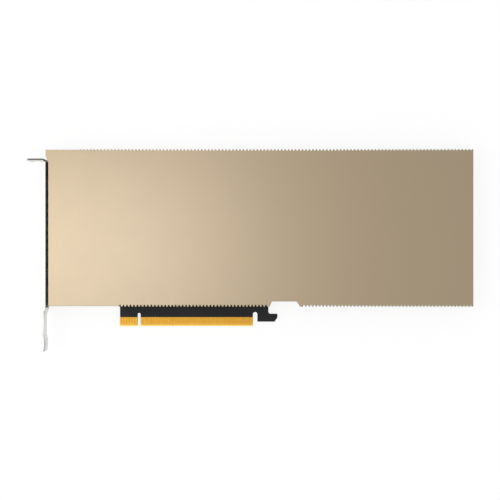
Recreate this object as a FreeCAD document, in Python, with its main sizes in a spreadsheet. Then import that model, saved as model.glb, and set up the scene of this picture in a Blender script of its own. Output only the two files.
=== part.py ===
import FreeCAD, Part
import math
import os

import Sketcher

# A passive accelerator card: full height, full length and one slot thick.
# Row frame, in millimetres: X runs along the card from the bracket towards the open intake end, Y runs from
# the edge connector towards the top edge, and Z leaves the component side of the board. The origin is the
# centre line of the key notch, at the tips of the edge fingers, in the plane of the board's front face.

SIZES = {
    # Circuit board outline
    "board_thickness": 1.57,
    "board_bracket_gap": 1.1,
    "board_inset": 0.9,
    "board_low_inset": 0.7,
    # Edge connector
    "key_width": 1.9,
    "key_depth": 8.3,
    "bevel_height": 0.7,
    "bevel_depth": 0.4,
    "hook_slot_width": 2.8,
    "hook_slot_depth": 8.9,
    # Retention hook
    "hook_low": 2.8,
    "hook_neck_width": 7.0,
    "hook_foot_length": 10.9,
    "hook_length": 12.7,
    "hook_shoulder": 5.4,
    "hook_toe": 7.8,
    "hook_corner_radius": 1.3,
    # Edge contacts
    "contact_pitch": 1.0,
    "contact_width": 0.7,
    "contact_top": 5.55,
    "contact_thickness": 0.06,
    "contact_edge_margin": 0.6,
    "contact_key_margin": 0.55,
    "presence_step": 1.1,
    # Shroud
    "cover_left": -55.5,
    "cover_right": 209.4,
    "cover_low": 12.75,
    "cover_high": 111.15,
    "cover_front": 14.4,
    "cover_plate": 1.2,
    "cover_wall": 1.8,
    "cover_gap": 0.3,
    "flat_inset": 0.5,
    "top_flat_length": 19.8,
    "bottom_flat_length": 41.4,
    "ear_reach": 1.65,
    "ear_depth": 4.35,
    "ear_slant": 3.8,
    # Shroud flutes
    "flute_pitch": 2.165,
    "flute_depth": 0.62,
    "flute_width": 1.75,
    "flute_end_margin": 1.46,
    "flute_notch_margin": 1.3,
    # Notch in the lower edge of the shroud
    "notch_neck_gap": 0.5,
    "notch_width": 19.2,
    "notch_slant_left": 1.5,
    "notch_slant_right": 2.1,
    "notch_depth": 3.35,
    "notch_wall": 1.3,
    "notch_board_gap": 0.7,
    # I/O bracket
    "bracket_gap": 1.8,
    "bracket_sheet": 1.0,
    "bracket_rear": -2.92,
    "bracket_width": 18.42,
    "bracket_high": 105.1,
    "bracket_length": 120.0,
    "bracket_bend_radius": 1.5,
    "tab_length": 10.7,
    "tab_corner": 1.0,
    "tab_notch_width": 4.42,
    "tab_notch_reach": 6.35,
    "tab_notch_centre": 4.5,
    "tongue_length": 26.2,
    "tongue_shoulder": 2.5,
    "tongue_rear_step": 7.6,
    "tongue_front_step": 0.5,
    "tongue_joggle_out": 0.5,
    "tongue_joggle_in": 0.75,
    "tongue_joggle_high": 23.9,
    "tongue_joggle_low": 9.9,
    "tongue_joggle_run": 2.5,
    "tongue_flare": 0.55,
    "tongue_flare_length": 3.0,
    "lug_width": 8.0,
    "lug_length": 9.0,
    "lug_relief": 0.4,
    "lug_screw_reach": 5.4,
    "lug_bend_radius": 0.9,
    "lug_centre_low": 34.0,
    "lug_centre_high": 90.0,
    # Bracket vents
    "vent_width": 3.2,
    "vent_corner": 0.9,
    "vent_length": 9.6,
    "vent_pitch": 5.6,
    "vent_front_margin": 2.4,
    "vent_end_margin": 6.0,
    # Processor package
    "processor_x": 52.0,
    "processor_y": 62.0,
    "substrate_side": 45.0,
    "substrate_height": 1.6,
    "die_side": 25.0,
    "die_height": 0.8,
    "stiffener_margin": 1.0,
    "stiffener_band": 5.0,
    "stiffener_height": 0.6,
    "die_paste": 0.1,
    # Memory
    "memory_long": 14.0,
    "memory_short": 12.0,
    "memory_height": 1.1,
    "memory_gap": 2.0,
    "memory_post_gap": 2.0,
    "memory_pad_inset": 1.0,
    # Core and memory power circuit
    "core_power_gap": 6.35,
    "memory_power_gap": 4.0,
    "phase_pitch": 10.0,
    "inductor_side": 8.0,
    "inductor_height": 4.0,
    "inductor_pad_height": 0.3,
    "stage_gap": 2.5,
    "stage_length": 6.0,
    "stage_width": 5.0,
    "stage_height": 0.9,
    "capacitor_length": 7.3,
    "capacitor_width": 4.3,
    "capacitor_height": 1.9,
    "capacitor_inductor_gap": 2.35,
    "capacitor_stage_gap": 3.85,
    # Input power circuit and small parts
    "choke_gap": 0.45,
    "choke_side": 10.0,
    "fuse_gap": 6.18,
    "fuse_length": 6.1,
    "fuse_width": 2.6,
    "fuse_height": 2.0,
    "fuse_pitch": 6.0,
    "sense_gap": 3.35,
    "sense_length": 6.3,
    "sense_width": 3.1,
    "sense_height": 0.8,
    "controller_gap": 7.5,
    "controller_side": 6.0,
    "controller_height": 0.9,
    "controller_pitch": 16.0,
    "manager_gap": 0.85,
    "manager_y": 44.0,
    "manager_side": 9.0,
    "manager_height": 1.0,
    "firmware_y": 66.0,
    "firmware_side": 5.3,
    "firmware_height": 1.7,
    "lead_pitch": 1.27,
    "lead_width": 0.42,
    "lead_reach": 1.3,
    "lead_height": 0.25,
    "crystal_y": 80.0,
    "crystal_length": 3.2,
    "crystal_width": 2.5,
    "crystal_height": 0.8,
    "chip_length": 2.0,
    "chip_width": 1.25,
    "chip_height": 1.2,
    "chip_pitch": 4.0,
    "back_chip_length": 1.6,
    "back_chip_width": 0.8,
    "back_chip_height": 0.8,
    "back_chip_pitch": 4.4,
    # Power header
    "header_pillar_gap": 1.4,
    "header_pitch": 4.2,
    "header_wall": 0.9,
    "header_length": 12.8,
    "header_cavity": 3.5,
    "header_cavity_depth": 10.8,
    "header_latch_width": 3.6,
    "header_latch_height": 1.4,
    "header_latch_length": 4.2,
    "pin_side": 1.14,
    "pin_inset": 2.2,
    "pin_tail_reach": 1.4,
    "pin_row_step": 4.0,
    "pin_below": 1.0,
    "pin_hole_clearance": 0.12,
    # Heat sink
    "sink_pillar_gap": 1.5,
    "sink_pin_gap": 3.73,
    "sink_low_gap": 3.9,
    "sink_high_gap": 1.9,
    "sink_plate": 3.0,
    "chamber_height": 1.5,
    "chamber_margin": 2.0,
    "pocket_clearance": 0.3,
    "fin_pitch": 2.05,
    "fin_sheet": 0.3,
    "fin_joint": 0.05,
    "fin_top_gap": 0.2,
    # Fasteners
    "screw_radius": 1.25,
    "thread_clearance": 0.05,
    "hole_clearance": 0.2,
    "head_radius": 2.4,
    "pillar_radius": 2.5,
    "pillar_left_margin": 4.7,
    "pillar_right_margin": 5.0,
    "pillar_edge_low": 6.3,
    "pillar_edge_high": 2.85,
    "pillar_row_low": 31.0,
    "pillar_header_gap": 2.0,
    "pillar_screw_depth": 5.0,
    "pillar_bore_depth": 6.0,
    "extender_spigot_radius": 2.0,
    "extender_spigot_clearance": 0.1,
    "extender_bore_depth": 8.0,
    "sink_post_gap": 4.0,
    "sink_screw_inset": 5.5,
    "sink_bore_depth": 2.6,
    "sink_screw_depth": 2.3,
    # Retention spring behind the processor
    "spring_post_gap": 1.5,
    "spring_post_radius": 2.5,
    "spring_arm": 4.5,
    "spring_waist": 19.0,
    "spring_window": 14.0,
    "spring_sheet": 0.6,
    "insulator_sheet": 0.15,
    "insulator_overlap": 4.0,
    "spring_head_radius": 2.9,
    "spring_screw_top": 2.3,
}

CONTACTS_LEFT = 11
CONTACTS_RIGHT = 71
PRESENCE_FRONT = (17, 31, 48, 81)
PRESENCE_BACK = (1,)
MEMORY_PER_ROW = 4
CORE_PHASES = 8
MEMORY_PHASES = 4
HEADER_COLUMNS = 4
HEADER_ROWS = 2
FIRMWARE_LEADS = 4
FRONT_CHIPS_PER_SIDE = 9
BACK_CHIP_ROWS = 4
BACK_CHIP_COLUMNS = 6

# Small fasteners and their holes are many-sided prisms; standoffs are hexagonal bars.
HEAD_SIDES = 8
SHANK_SIDES = 6
HOLE_SIDES = 6
STANDOFF_SIDES = 6

doc = FreeCAD.newDocument("accelerator_card")
sheet = doc.addObject("Spreadsheet::Sheet", "Sizes")
for row, (alias, number) in enumerate(SIZES.items(), start=1):
    sheet.set("A%d" % row, alias)
    sheet.set("B%d" % row, str(number))
    sheet.setAlias("B%d" % row, alias)
doc.recompute()


class Size:
    # A length with the sheet expression that gives it, so that sums of sizes stay bound to the sheet.
    def __init__(self, value, text):
        self.value = value
        self.text = text

    def __add__(self, other):
        other = as_size(other)
        return Size(self.value + other.value, "(%s + %s)" % (self.text, other.text))

    def __sub__(self, other):
        other = as_size(other)
        return Size(self.value - other.value, "(%s - %s)" % (self.text, other.text))

    def __mul__(self, factor):
        return Size(self.value * factor, "(%s * %r)" % (self.text, factor))

    def __truediv__(self, factor):
        return Size(self.value / factor, "(%s / %r)" % (self.text, factor))

    def __neg__(self):
        return Size(-self.value, "(-1 * %s)" % self.text)


def as_size(number):
    if isinstance(number, Size):
        return number
    return Size(number, "(%r)" % number)


def size(alias):
    return Size(SIZES[alias], "Sizes.%s" % alias)


def bind(target, path, length):
    target.setExpression(path, as_size(length).text)


def span(middle, length):
    return middle - length / 2, middle + length / 2


# Simple solids

def box(label, x_range, y_range, z_range):
    solid = doc.addObject("Part::Box", label)
    for path, (low, high) in zip(("Length", "Width", "Height"), (x_range, y_range, z_range)):
        bind(solid, path, high - low)
    for axis, (low, high) in zip("xyz", (x_range, y_range, z_range)):
        bind(solid, "Placement.Base.%s" % axis, low)
    return solid


def upright(kind, label, x, y, z_range, **sizes):
    # A round or many-sided primitive that stands along Z.
    solid = doc.addObject(kind, label)
    low, high = z_range
    for path, length in sizes.items():
        bind(solid, path, length)
    bind(solid, "Height", high - low)
    for axis, place in zip("xyz", (x, y, low)):
        bind(solid, "Placement.Base.%s" % axis, place)
    return solid


def bars(name, places, z_range, radius, sides):
    # Many-sided bars whose corners lie on the radius.
    solids = []
    for number, (x, y) in enumerate(places, start=1):
        label = "%s_%d" % (name, number)
        solid = upright("Part::Prism", label, x, y, z_range, Circumradius=radius)
        solid.Polygon = sides
        solids.append(solid)
    return solids


def drills(name, places, z_range, radius):
    # Many-sided cutters whose flats lie on the radius, so that a bar of that radius passes.
    return bars(name, places, z_range, radius / math.cos(math.pi / HOLE_SIDES), HOLE_SIDES)


def rounds(name, places, z_range, radius):
    return [
        upright("Part::Cylinder", "%s_%d" % (name, number), x, y, z_range, Radius=radius)
        for number, (x, y) in enumerate(places, start=1)
    ]


def gather(label, solids):
    group = doc.addObject("Part::Compound", label)
    group.Links = solids
    return group


def fused(label, solids):
    union = doc.addObject("Part::MultiFuse", label)
    union.Shapes = solids
    return union


def cut_away(label, base, tools):
    result = doc.addObject("Part::Cut", label)
    result.Base = base
    result.Tool = gather(label + "_cutters", tools)
    return result


# Sketches and features

def origin_plane(body, role):
    return next(feature for feature in body.Origin.OriginFeatures if feature.Role == role)


def new_body(label):
    body = doc.addObject("PartDesign::Body", label)
    body.AllowCompound = True
    return body


def new_sketch(body, name, role, height):
    sketch = body.newObject("Sketcher::SketchObject", name)
    sketch.AttachmentSupport = [(origin_plane(body, role), "")]
    sketch.MapMode = "FlatFace"
    bind(sketch, "AttachmentOffset.Base.z", height)
    return sketch


def fix_point(sketch, geometry, vertex, x, y):
    for kind, length in (("DistanceX", x), ("DistanceY", y)):
        index = sketch.addConstraint(Sketcher.Constraint(kind, -1, 1, geometry, vertex, length.value))
        bind(sketch, "Constraints[%d]" % index, length)


def finish(feature):
    doc.recompute()
    if not feature.isValid():
        raise RuntimeError("%s failed: %s" % (feature.Label, feature.getStatusString()))
    return feature


def add_polygon(sketch, points):
    points = [(as_size(x), as_size(y)) for x, y in points]
    first = sketch.GeometryCount
    for index, (x, y) in enumerate(points):
        next_x, next_y = points[(index + 1) % len(points)]
        start = FreeCAD.Vector(x.value, y.value, 0)
        end = FreeCAD.Vector(next_x.value, next_y.value, 0)
        sketch.addGeometry(Part.LineSegment(start, end))
    for index in range(len(points)):
        following = first + (index + 1) % len(points)
        sketch.addConstraint(Sketcher.Constraint("Coincident", first + index, 2, following, 1))
    for index, (x, y) in enumerate(points):
        fix_point(sketch, first + index, 1, x, y)


def add_rectangle(sketch, x_range, y_range):
    left, right = x_range
    low, high = y_range
    add_polygon(sketch, [(left, low), (right, low), (right, high), (left, high)])


def add_circle(sketch, x, y, radius):
    x = as_size(x)
    y = as_size(y)
    centre = FreeCAD.Vector(x.value, y.value, 0)
    geometry = sketch.addGeometry(Part.Circle(centre, FreeCAD.Vector(0, 0, 1), radius.value))
    fix_point(sketch, geometry, 3, x, y)
    index = sketch.addConstraint(Sketcher.Constraint("Radius", geometry, radius.value))
    bind(sketch, "Constraints[%d]" % index, radius)


def pad(body, sketch, name, length):
    feature = body.newObject("PartDesign::Pad", name)
    feature.Profile = sketch
    bind(feature, "Length", length)
    return finish(feature)


def pocket(body, sketch, name, length=None):
    # Cuts along the sketch's normal, by a length or through everything both ways.
    before = body.Shape.Volume
    feature = body.newObject("PartDesign::Pocket", name)
    feature.Profile = sketch
    if length is None:
        feature.Type = "ThroughAll"
        feature.SideType = "Symmetric"
    else:
        feature.Reversed = True
        bind(feature, "Length", length)
    finish(feature)
    if not body.Shape.Volume < before:
        raise RuntimeError("%s cut nothing" % name)
    return feature


def row_pattern(body, feature, name, sketch, axis, pitch, count, backwards=False):
    pattern = body.newObject("PartDesign::LinearPattern", name)
    pattern.Originals = [feature]
    pattern.Direction = (sketch, [axis])
    pattern.Reversed = backwards
    pattern.Mode = "Spacing"
    bind(pattern, "Offset", pitch)
    pattern.Occurrences = count
    body.Tip = pattern
    return finish(pattern)


def grid_pattern(body, feature, name, sketch, x_step, y_step):
    # Copies a feature in rows and columns; each step is a pitch and a count.
    pattern = row_pattern(body, feature, name, sketch, "H_Axis", *x_step)
    pattern.Direction2 = (sketch, ["V_Axis"])
    pattern.Mode2 = "Spacing"
    bind(pattern, "Offset2", y_step[0])
    pattern.Occurrences2 = y_step[1]
    return finish(pattern)


def edges_along(shape, axis, places):
    # Names of the straight edges along one axis (0, 1 or 2) whose other two coordinates are at a given place.
    others = [index for index in range(3) if index != axis]
    names = []
    for number, edge in enumerate(shape.Edges, start=1):
        ends = [vertex.Point for vertex in edge.Vertexes]
        if len(ends) != 2 or abs(ends[0][axis] - ends[1][axis]) < 0.1:
            continue
        for place in places:
            offsets = [abs(end[index] - where.value) for end in ends for index, where in zip(others, place)]
            if max(offsets) < 1e-4:
                names.append("Edge%d" % number)
    return names


def treat_edges(body, kind, name, axis, places, amount):
    # Rounds (Fillet) or cuts (Chamfer) the edges along an axis at the given places.
    base = body.Tip
    names = edges_along(base.Shape, axis, places)
    if len(names) < len(places):
        raise RuntimeError("%s found no edge at a corner" % name)
    feature = body.newObject("PartDesign::" + kind, name)
    feature.Base = (base, names)
    bind(feature, "Radius" if kind == "Fillet" else "Size", amount)
    return finish(feature)


def plates(label, rectangles, low, height):
    # Equal-height rectangular pieces, drawn in one sketch and padded together.
    body = new_body(label)
    sketch = new_sketch(body, label + "_outline", "XY_Plane", low)
    for x_range, y_range in rectangles:
        add_rectangle(sketch, x_range, y_range)
    pad(body, sketch, label + "_pad", height)
    return body


def plate_row(body, name, x_range, y_range, low, height, axis, step):
    # One rectangular piece, repeated along one axis of its sketch.
    sketch = new_sketch(body, name + "_outline", "XY_Plane", low)
    add_rectangle(sketch, x_range, y_range)
    feature = pad(body, sketch, name + "_pad", height)
    return row_pattern(body, feature, name + "_row", sketch, axis, *step)


def plate_grid(body, name, x_range, y_range, low, height, x_step, y_step):
    # One rectangular piece, repeated in rows and columns from its lower left place.
    sketch = new_sketch(body, name + "_outline", "XY_Plane", low)
    add_rectangle(sketch, x_range, y_range)
    feature = pad(body, sketch, name + "_pad", height)
    return grid_pattern(body, feature, name + "_grid", sketch, x_step, y_step)


def first_of(middle, pitch, count):
    # Where a centred row of places starts.
    return middle - pitch * ((count - 1) / 2)


def round_cut(body, name, x, y, radius, role="XY_Plane"):
    # A round hole through everything, square to the sketch plane.
    sketch = new_sketch(body, name + "_circle", role, zero)
    add_circle(sketch, x, y, radius)
    return pocket(body, sketch, name)


# Places that several pieces share

def contact_x(number):
    # Middle of a contact, counted from 1 at the bracket end.
    half_key = size("key_width") / 2
    if number <= CONTACTS_LEFT:
        return -half_key - size("contact_key_margin") - size("contact_pitch") * (CONTACTS_LEFT - number)
    return half_key + size("contact_key_margin") + size("contact_pitch") * (number - CONTACTS_LEFT - 1)


zero = as_size(0.0)
cover_roof = size("cover_front") - size("cover_plate")
cover_inner_low = size("cover_low") + size("cover_wall")
cover_inner_high = size("cover_high") - size("cover_wall")
bracket_inner = size("cover_left") - size("bracket_gap")
bracket_outer = bracket_inner - size("bracket_sheet")
bracket_front = size("bracket_rear") + size("bracket_width")
bracket_end = size("bracket_high") - size("bracket_length")
plate_low = bracket_end + size("tongue_length")

board_back = -size("board_thickness")
board_left = bracket_inner + size("board_bracket_gap")
board_right = size("cover_right") - size("board_inset")
board_low = size("cover_low") + size("board_low_inset")
board_high = size("cover_high") - size("board_inset")
finger_left = contact_x(1) - size("contact_edge_margin")
finger_right = contact_x(CONTACTS_LEFT + CONTACTS_RIGHT) + size("contact_edge_margin")
hook_left = finger_right + size("hook_slot_width")
neck_right = hook_left + size("hook_neck_width")
notch_left = neck_right + size("notch_neck_gap")
notch_right = notch_left + size("notch_width")

thread_radius = size("screw_radius") + size("thread_clearance")
hole_radius = size("screw_radius") + size("hole_clearance")
pillar_radius = size("pillar_radius")
pillar_left = board_left + size("pillar_left_margin")
pillar_right = board_right - size("pillar_right_margin")
extender_low = size("cover_low") + size("pillar_edge_low")
extender_high = cover_inner_high - size("pillar_edge_high")

header_left = board_right - size("header_length")
header_width = size("header_pitch") * HEADER_COLUMNS + size("header_wall") * 2
header_y = extender_high - pillar_radius - size("header_pillar_gap") - header_width / 2
pin_tails_end = header_left - size("pin_tail_reach") - size("pin_row_step") * (HEADER_ROWS - 1)
pin_tails_left = pin_tails_end - size("pin_side") / 2
pillar_row_high = header_y - header_width / 2 - size("pillar_header_gap") - pillar_radius

processor_x = size("processor_x")
processor_y = size("processor_y")
spring_reach = size("substrate_side") / 2 + size("spring_post_gap") + size("spring_post_radius")
memory_inner = spring_reach + size("spring_post_radius") + size("memory_post_gap")
memory_offset = memory_inner + size("memory_short") / 2
memory_outer = memory_inner + size("memory_short")
memory_pitch = size("memory_long") + size("memory_gap")

# The power circuit stands on both sides of the memory, in columns that count outwards from it.
half_capacitor = size("capacitor_width") / 2
half_inductor = size("inductor_side") / 2
half_stage = size("stage_width") / 2
core_capacitor_x = processor_x + memory_outer + size("core_power_gap") + half_capacitor
core_inductor_x = core_capacitor_x + half_capacitor + size("capacitor_inductor_gap") + half_inductor
core_stage_x = core_inductor_x + half_inductor + size("stage_gap") + half_stage
memory_inductor_x = processor_x - memory_outer - size("memory_power_gap") - half_inductor
memory_stage_x = memory_inductor_x - half_inductor - size("stage_gap") - half_stage
memory_capacitor_x = memory_stage_x - half_stage - size("capacitor_stage_gap") - half_capacitor
controller_x = core_stage_x + half_stage + size("controller_gap") + size("controller_side") / 2
manager_x = memory_capacitor_x - half_capacitor - size("manager_gap") - size("manager_side") / 2
fuse_x = pin_tails_left - size("fuse_gap") - size("fuse_length") / 2
choke_x = fuse_x - size("fuse_length") / 2 - size("choke_gap") - size("choke_side") / 2
sense_x = choke_x - size("choke_side") / 2 - size("sense_gap") - size("sense_length") / 2

sink_gap = size("substrate_height") + size("die_height") + size("die_paste")
sink_left = pillar_left + pillar_radius + size("sink_pillar_gap")
sink_right = pin_tails_left - size("sink_pin_gap")
sink_top = sink_gap + size("sink_plate")
sink_low = cover_inner_low + size("sink_low_gap")
sink_high = cover_inner_high - size("sink_high_gap")

lug_centres = [size("lug_centre_low"), size("lug_centre_high")]
bracket_screw_places = [(bracket_inner + size("lug_screw_reach"), centre) for centre in lug_centres]
cover_pillar_places = [
    (pillar_left, extender_low),
    (pillar_left, processor_y),
    (pillar_left, extender_high - pillar_radius),
    (pillar_right, size("pillar_row_low")),
    (pillar_right, pillar_row_high),
]
extender_places = [(pillar_right, extender_low), (pillar_right, extender_high)]
sink_screw_places = [
    (x, y)
    for x in (
        sink_left + size("sink_screw_inset"),
        core_stage_x + half_stage + size("sink_post_gap") + pillar_radius,
        sink_right - size("sink_screw_inset"),
    )
    for y in (sink_low + size("sink_screw_inset"), sink_high - size("sink_screw_inset"))
]
spring_places = [
    (processor_x + spring_reach * side_x, processor_y + spring_reach * side_y)
    for side_x in (-1, 1)
    for side_y in (-1, 1)
]


# Circuit board

def make_circuit_board():
    body = new_body("laminate")
    half_key = size("key_width") / 2
    half_slot = size("hook_slot_width") / 2
    key_shoulder = size("key_depth") - half_key
    slot_shoulder = size("hook_slot_depth") - half_slot
    hook_tip = hook_left + size("hook_length")
    notch_low = size("cover_low") + size("notch_depth") + size("notch_board_gap")
    notch_end = notch_right + size("notch_board_gap")
    sketch = new_sketch(body, "board_outline", "XY_Plane", board_back)
    add_polygon(sketch, [
        (board_left, board_low),
        (finger_left, board_low),
        (finger_left, zero),
        (-half_key, zero),
        (-half_key, key_shoulder),
        (half_key, key_shoulder),
        (half_key, zero),
        (finger_right, zero),
        (finger_right, slot_shoulder),
        (hook_left, slot_shoulder),
        (hook_left, size("hook_low")),
        (hook_left + size("hook_foot_length"), size("hook_low")),
        (hook_tip, size("hook_shoulder")),
        (hook_tip, size("hook_toe")),
        (neck_right, size("hook_toe")),
        (neck_right, notch_low),
        (notch_end, notch_low),
        (notch_end, board_low),
        (board_right, board_low),
        (board_right, board_high),
        (board_left, board_high),
    ])
    pad(body, sketch, "board_blank", size("board_thickness"))
    round_cut(body, "key_top", zero, key_shoulder, half_key)
    round_cut(body, "slot_top", hook_left - half_slot, slot_shoulder, half_slot)
    treat_edges(body, "Fillet", "hook_corner", 2, [(neck_right, size("hook_toe"))], size("hook_corner_radius"))
    bevel = new_sketch(body, "finger_bevel", "YZ_Plane", zero)
    add_polygon(bevel, [
        (zero, zero),
        (zero, -size("bevel_depth")),
        (size("bevel_height"), zero),
    ])
    add_polygon(bevel, [
        (zero, board_back),
        (size("bevel_height"), board_back),
        (zero, board_back + size("bevel_depth")),
    ])
    pocket(body, bevel, "bevels")
    through = board_back - size("board_thickness"), size("board_thickness")
    spigot_radius = size("extender_spigot_radius") + size("extender_spigot_clearance")
    pin_radius = size("pin_side") * math.sqrt(0.5) + size("pin_hole_clearance")
    screw_places = bracket_screw_places + cover_pillar_places + sink_screw_places + spring_places
    holes = drills("screw_hole", screw_places, through, hole_radius)
    holes += drills("extender_hole", extender_places, through, spigot_radius)
    holes += drills("pin_hole", pin_places(), through, pin_radius)
    return cut_away("circuit_board", body, holes)


# Edge contacts

def make_contacts(label, low, presence_contacts):
    body = new_body(label)
    low_end = size("bevel_height")
    runs = [("left", CONTACTS_LEFT, CONTACTS_LEFT, True), ("right", CONTACTS_LEFT + 1, CONTACTS_RIGHT, False)]
    for side, first, count, backwards in runs:
        name = "%s_%s" % (label, side)
        sketch = new_sketch(body, name + "_outline", "XY_Plane", low)
        add_rectangle(sketch, span(contact_x(first), size("contact_width")), (low_end, size("contact_top")))
        feature = pad(body, sketch, name, size("contact_thickness"))
        pitch = size("contact_pitch")
        row_pattern(body, feature, name + "_row", sketch, "H_Axis", pitch, count, backwards)
    # The presence contacts start further up the board than the others.
    short = new_sketch(body, label + "_short", "XY_Plane", low)
    for number in presence_contacts:
        add_rectangle(
            short,
            span(contact_x(number), size("contact_pitch")),
            (zero, low_end + size("presence_step")),
        )
    pocket(body, short, label + "_presence")
    return body


# Shroud

def make_shroud():
    body = new_body("shroud")
    left = size("cover_left")
    right = size("cover_right")
    low = size("cover_low")
    high = size("cover_high")
    ear_shoulder = high - size("ear_depth")
    top_flat_end = left + size("top_flat_length")
    bottom_flat_end = left + size("bottom_flat_length")
    notch_top = low + size("notch_depth")
    notch_top_left = notch_left + size("notch_slant_left")
    notch_top_right = notch_right - size("notch_slant_right")
    outline = new_sketch(body, "shroud_outline", "XY_Plane", size("cover_gap"))
    add_polygon(outline, [
        (left, low + size("flat_inset")),
        (bottom_flat_end, low + size("flat_inset")),
        (bottom_flat_end, low),
        (notch_left, low),
        (notch_top_left, notch_top),
        (notch_top_right, notch_top),
        (notch_right, low),
        (right, low),
        (right, high),
        (top_flat_end, high),
        (top_flat_end, high - size("flat_inset")),
        (left - size("ear_reach"), high - size("flat_inset")),
        (left - size("ear_reach"), ear_shoulder),
        (left, ear_shoulder - size("ear_slant")),
    ])
    pad(body, outline, "shroud_block", size("cover_front") - size("cover_gap"))
    channel = new_sketch(body, "shroud_channel", "XY_Plane", size("cover_gap"))
    open_left = left - size("ear_reach") * 2
    open_right = right + size("ear_reach")
    wall = size("notch_wall")
    add_polygon(channel, [
        (open_left, cover_inner_low),
        (notch_left - wall, cover_inner_low),
        (notch_top_left - wall, notch_top + wall),
        (notch_top_right + wall, notch_top + wall),
        (notch_right + wall, cover_inner_low),
        (open_right, cover_inner_low),
        (open_right, cover_inner_high),
        (open_left, cover_inner_high),
    ])
    pocket(body, channel, "shroud_hollow", cover_roof - size("cover_gap"))

    # Flutes run down the long walls. They count from the intake end and keep clear of the notch and the flats.
    pitch = size("flute_pitch")
    last = right - size("flute_end_margin")
    notch_end = notch_right + size("flute_notch_margin")
    notch_start = notch_left - size("flute_notch_margin")
    top_count = flutes_between(top_flat_end + pitch / 2, last)
    end_count = flutes_between(notch_end, last)
    skipped = math.ceil((last - notch_start).value / pitch.value)
    rest_count = flutes_between(bottom_flat_end + pitch / 2, last) - skipped
    depth = size("flute_depth")
    runs = [
        ("top_flutes", last, high, -depth, top_count),
        ("end_flutes", last, low, depth, end_count),
        ("middle_flutes", last - pitch * skipped, low, depth, rest_count),
    ]
    for name, x, crest, inwards, count in runs:
        sketch = new_sketch(body, name + "_section", "XY_Plane", zero)
        left_edge, right_edge = span(x, size("flute_width"))
        add_polygon(sketch, [(left_edge, crest), (x, crest + inwards), (right_edge, crest)])
        flute = pocket(body, sketch, name + "_cut")
        row_pattern(body, flute, name, sketch, "H_Axis", pitch, count, backwards=True)
    return body


def flutes_between(start, last):
    return math.floor((last - start).value / SIZES["flute_pitch"]) + 1


# I/O bracket

def add_vent(sketch, y_range, z_range, corner):
    # A tall vent with cut corners.
    left, right = y_range
    low, high = z_range
    add_polygon(sketch, [
        (left, low + corner),
        (left + corner, low),
        (right - corner, low),
        (right, low + corner),
        (right, high - corner),
        (right - corner, high),
        (left + corner, high),
        (left, high - corner),
    ])


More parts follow.
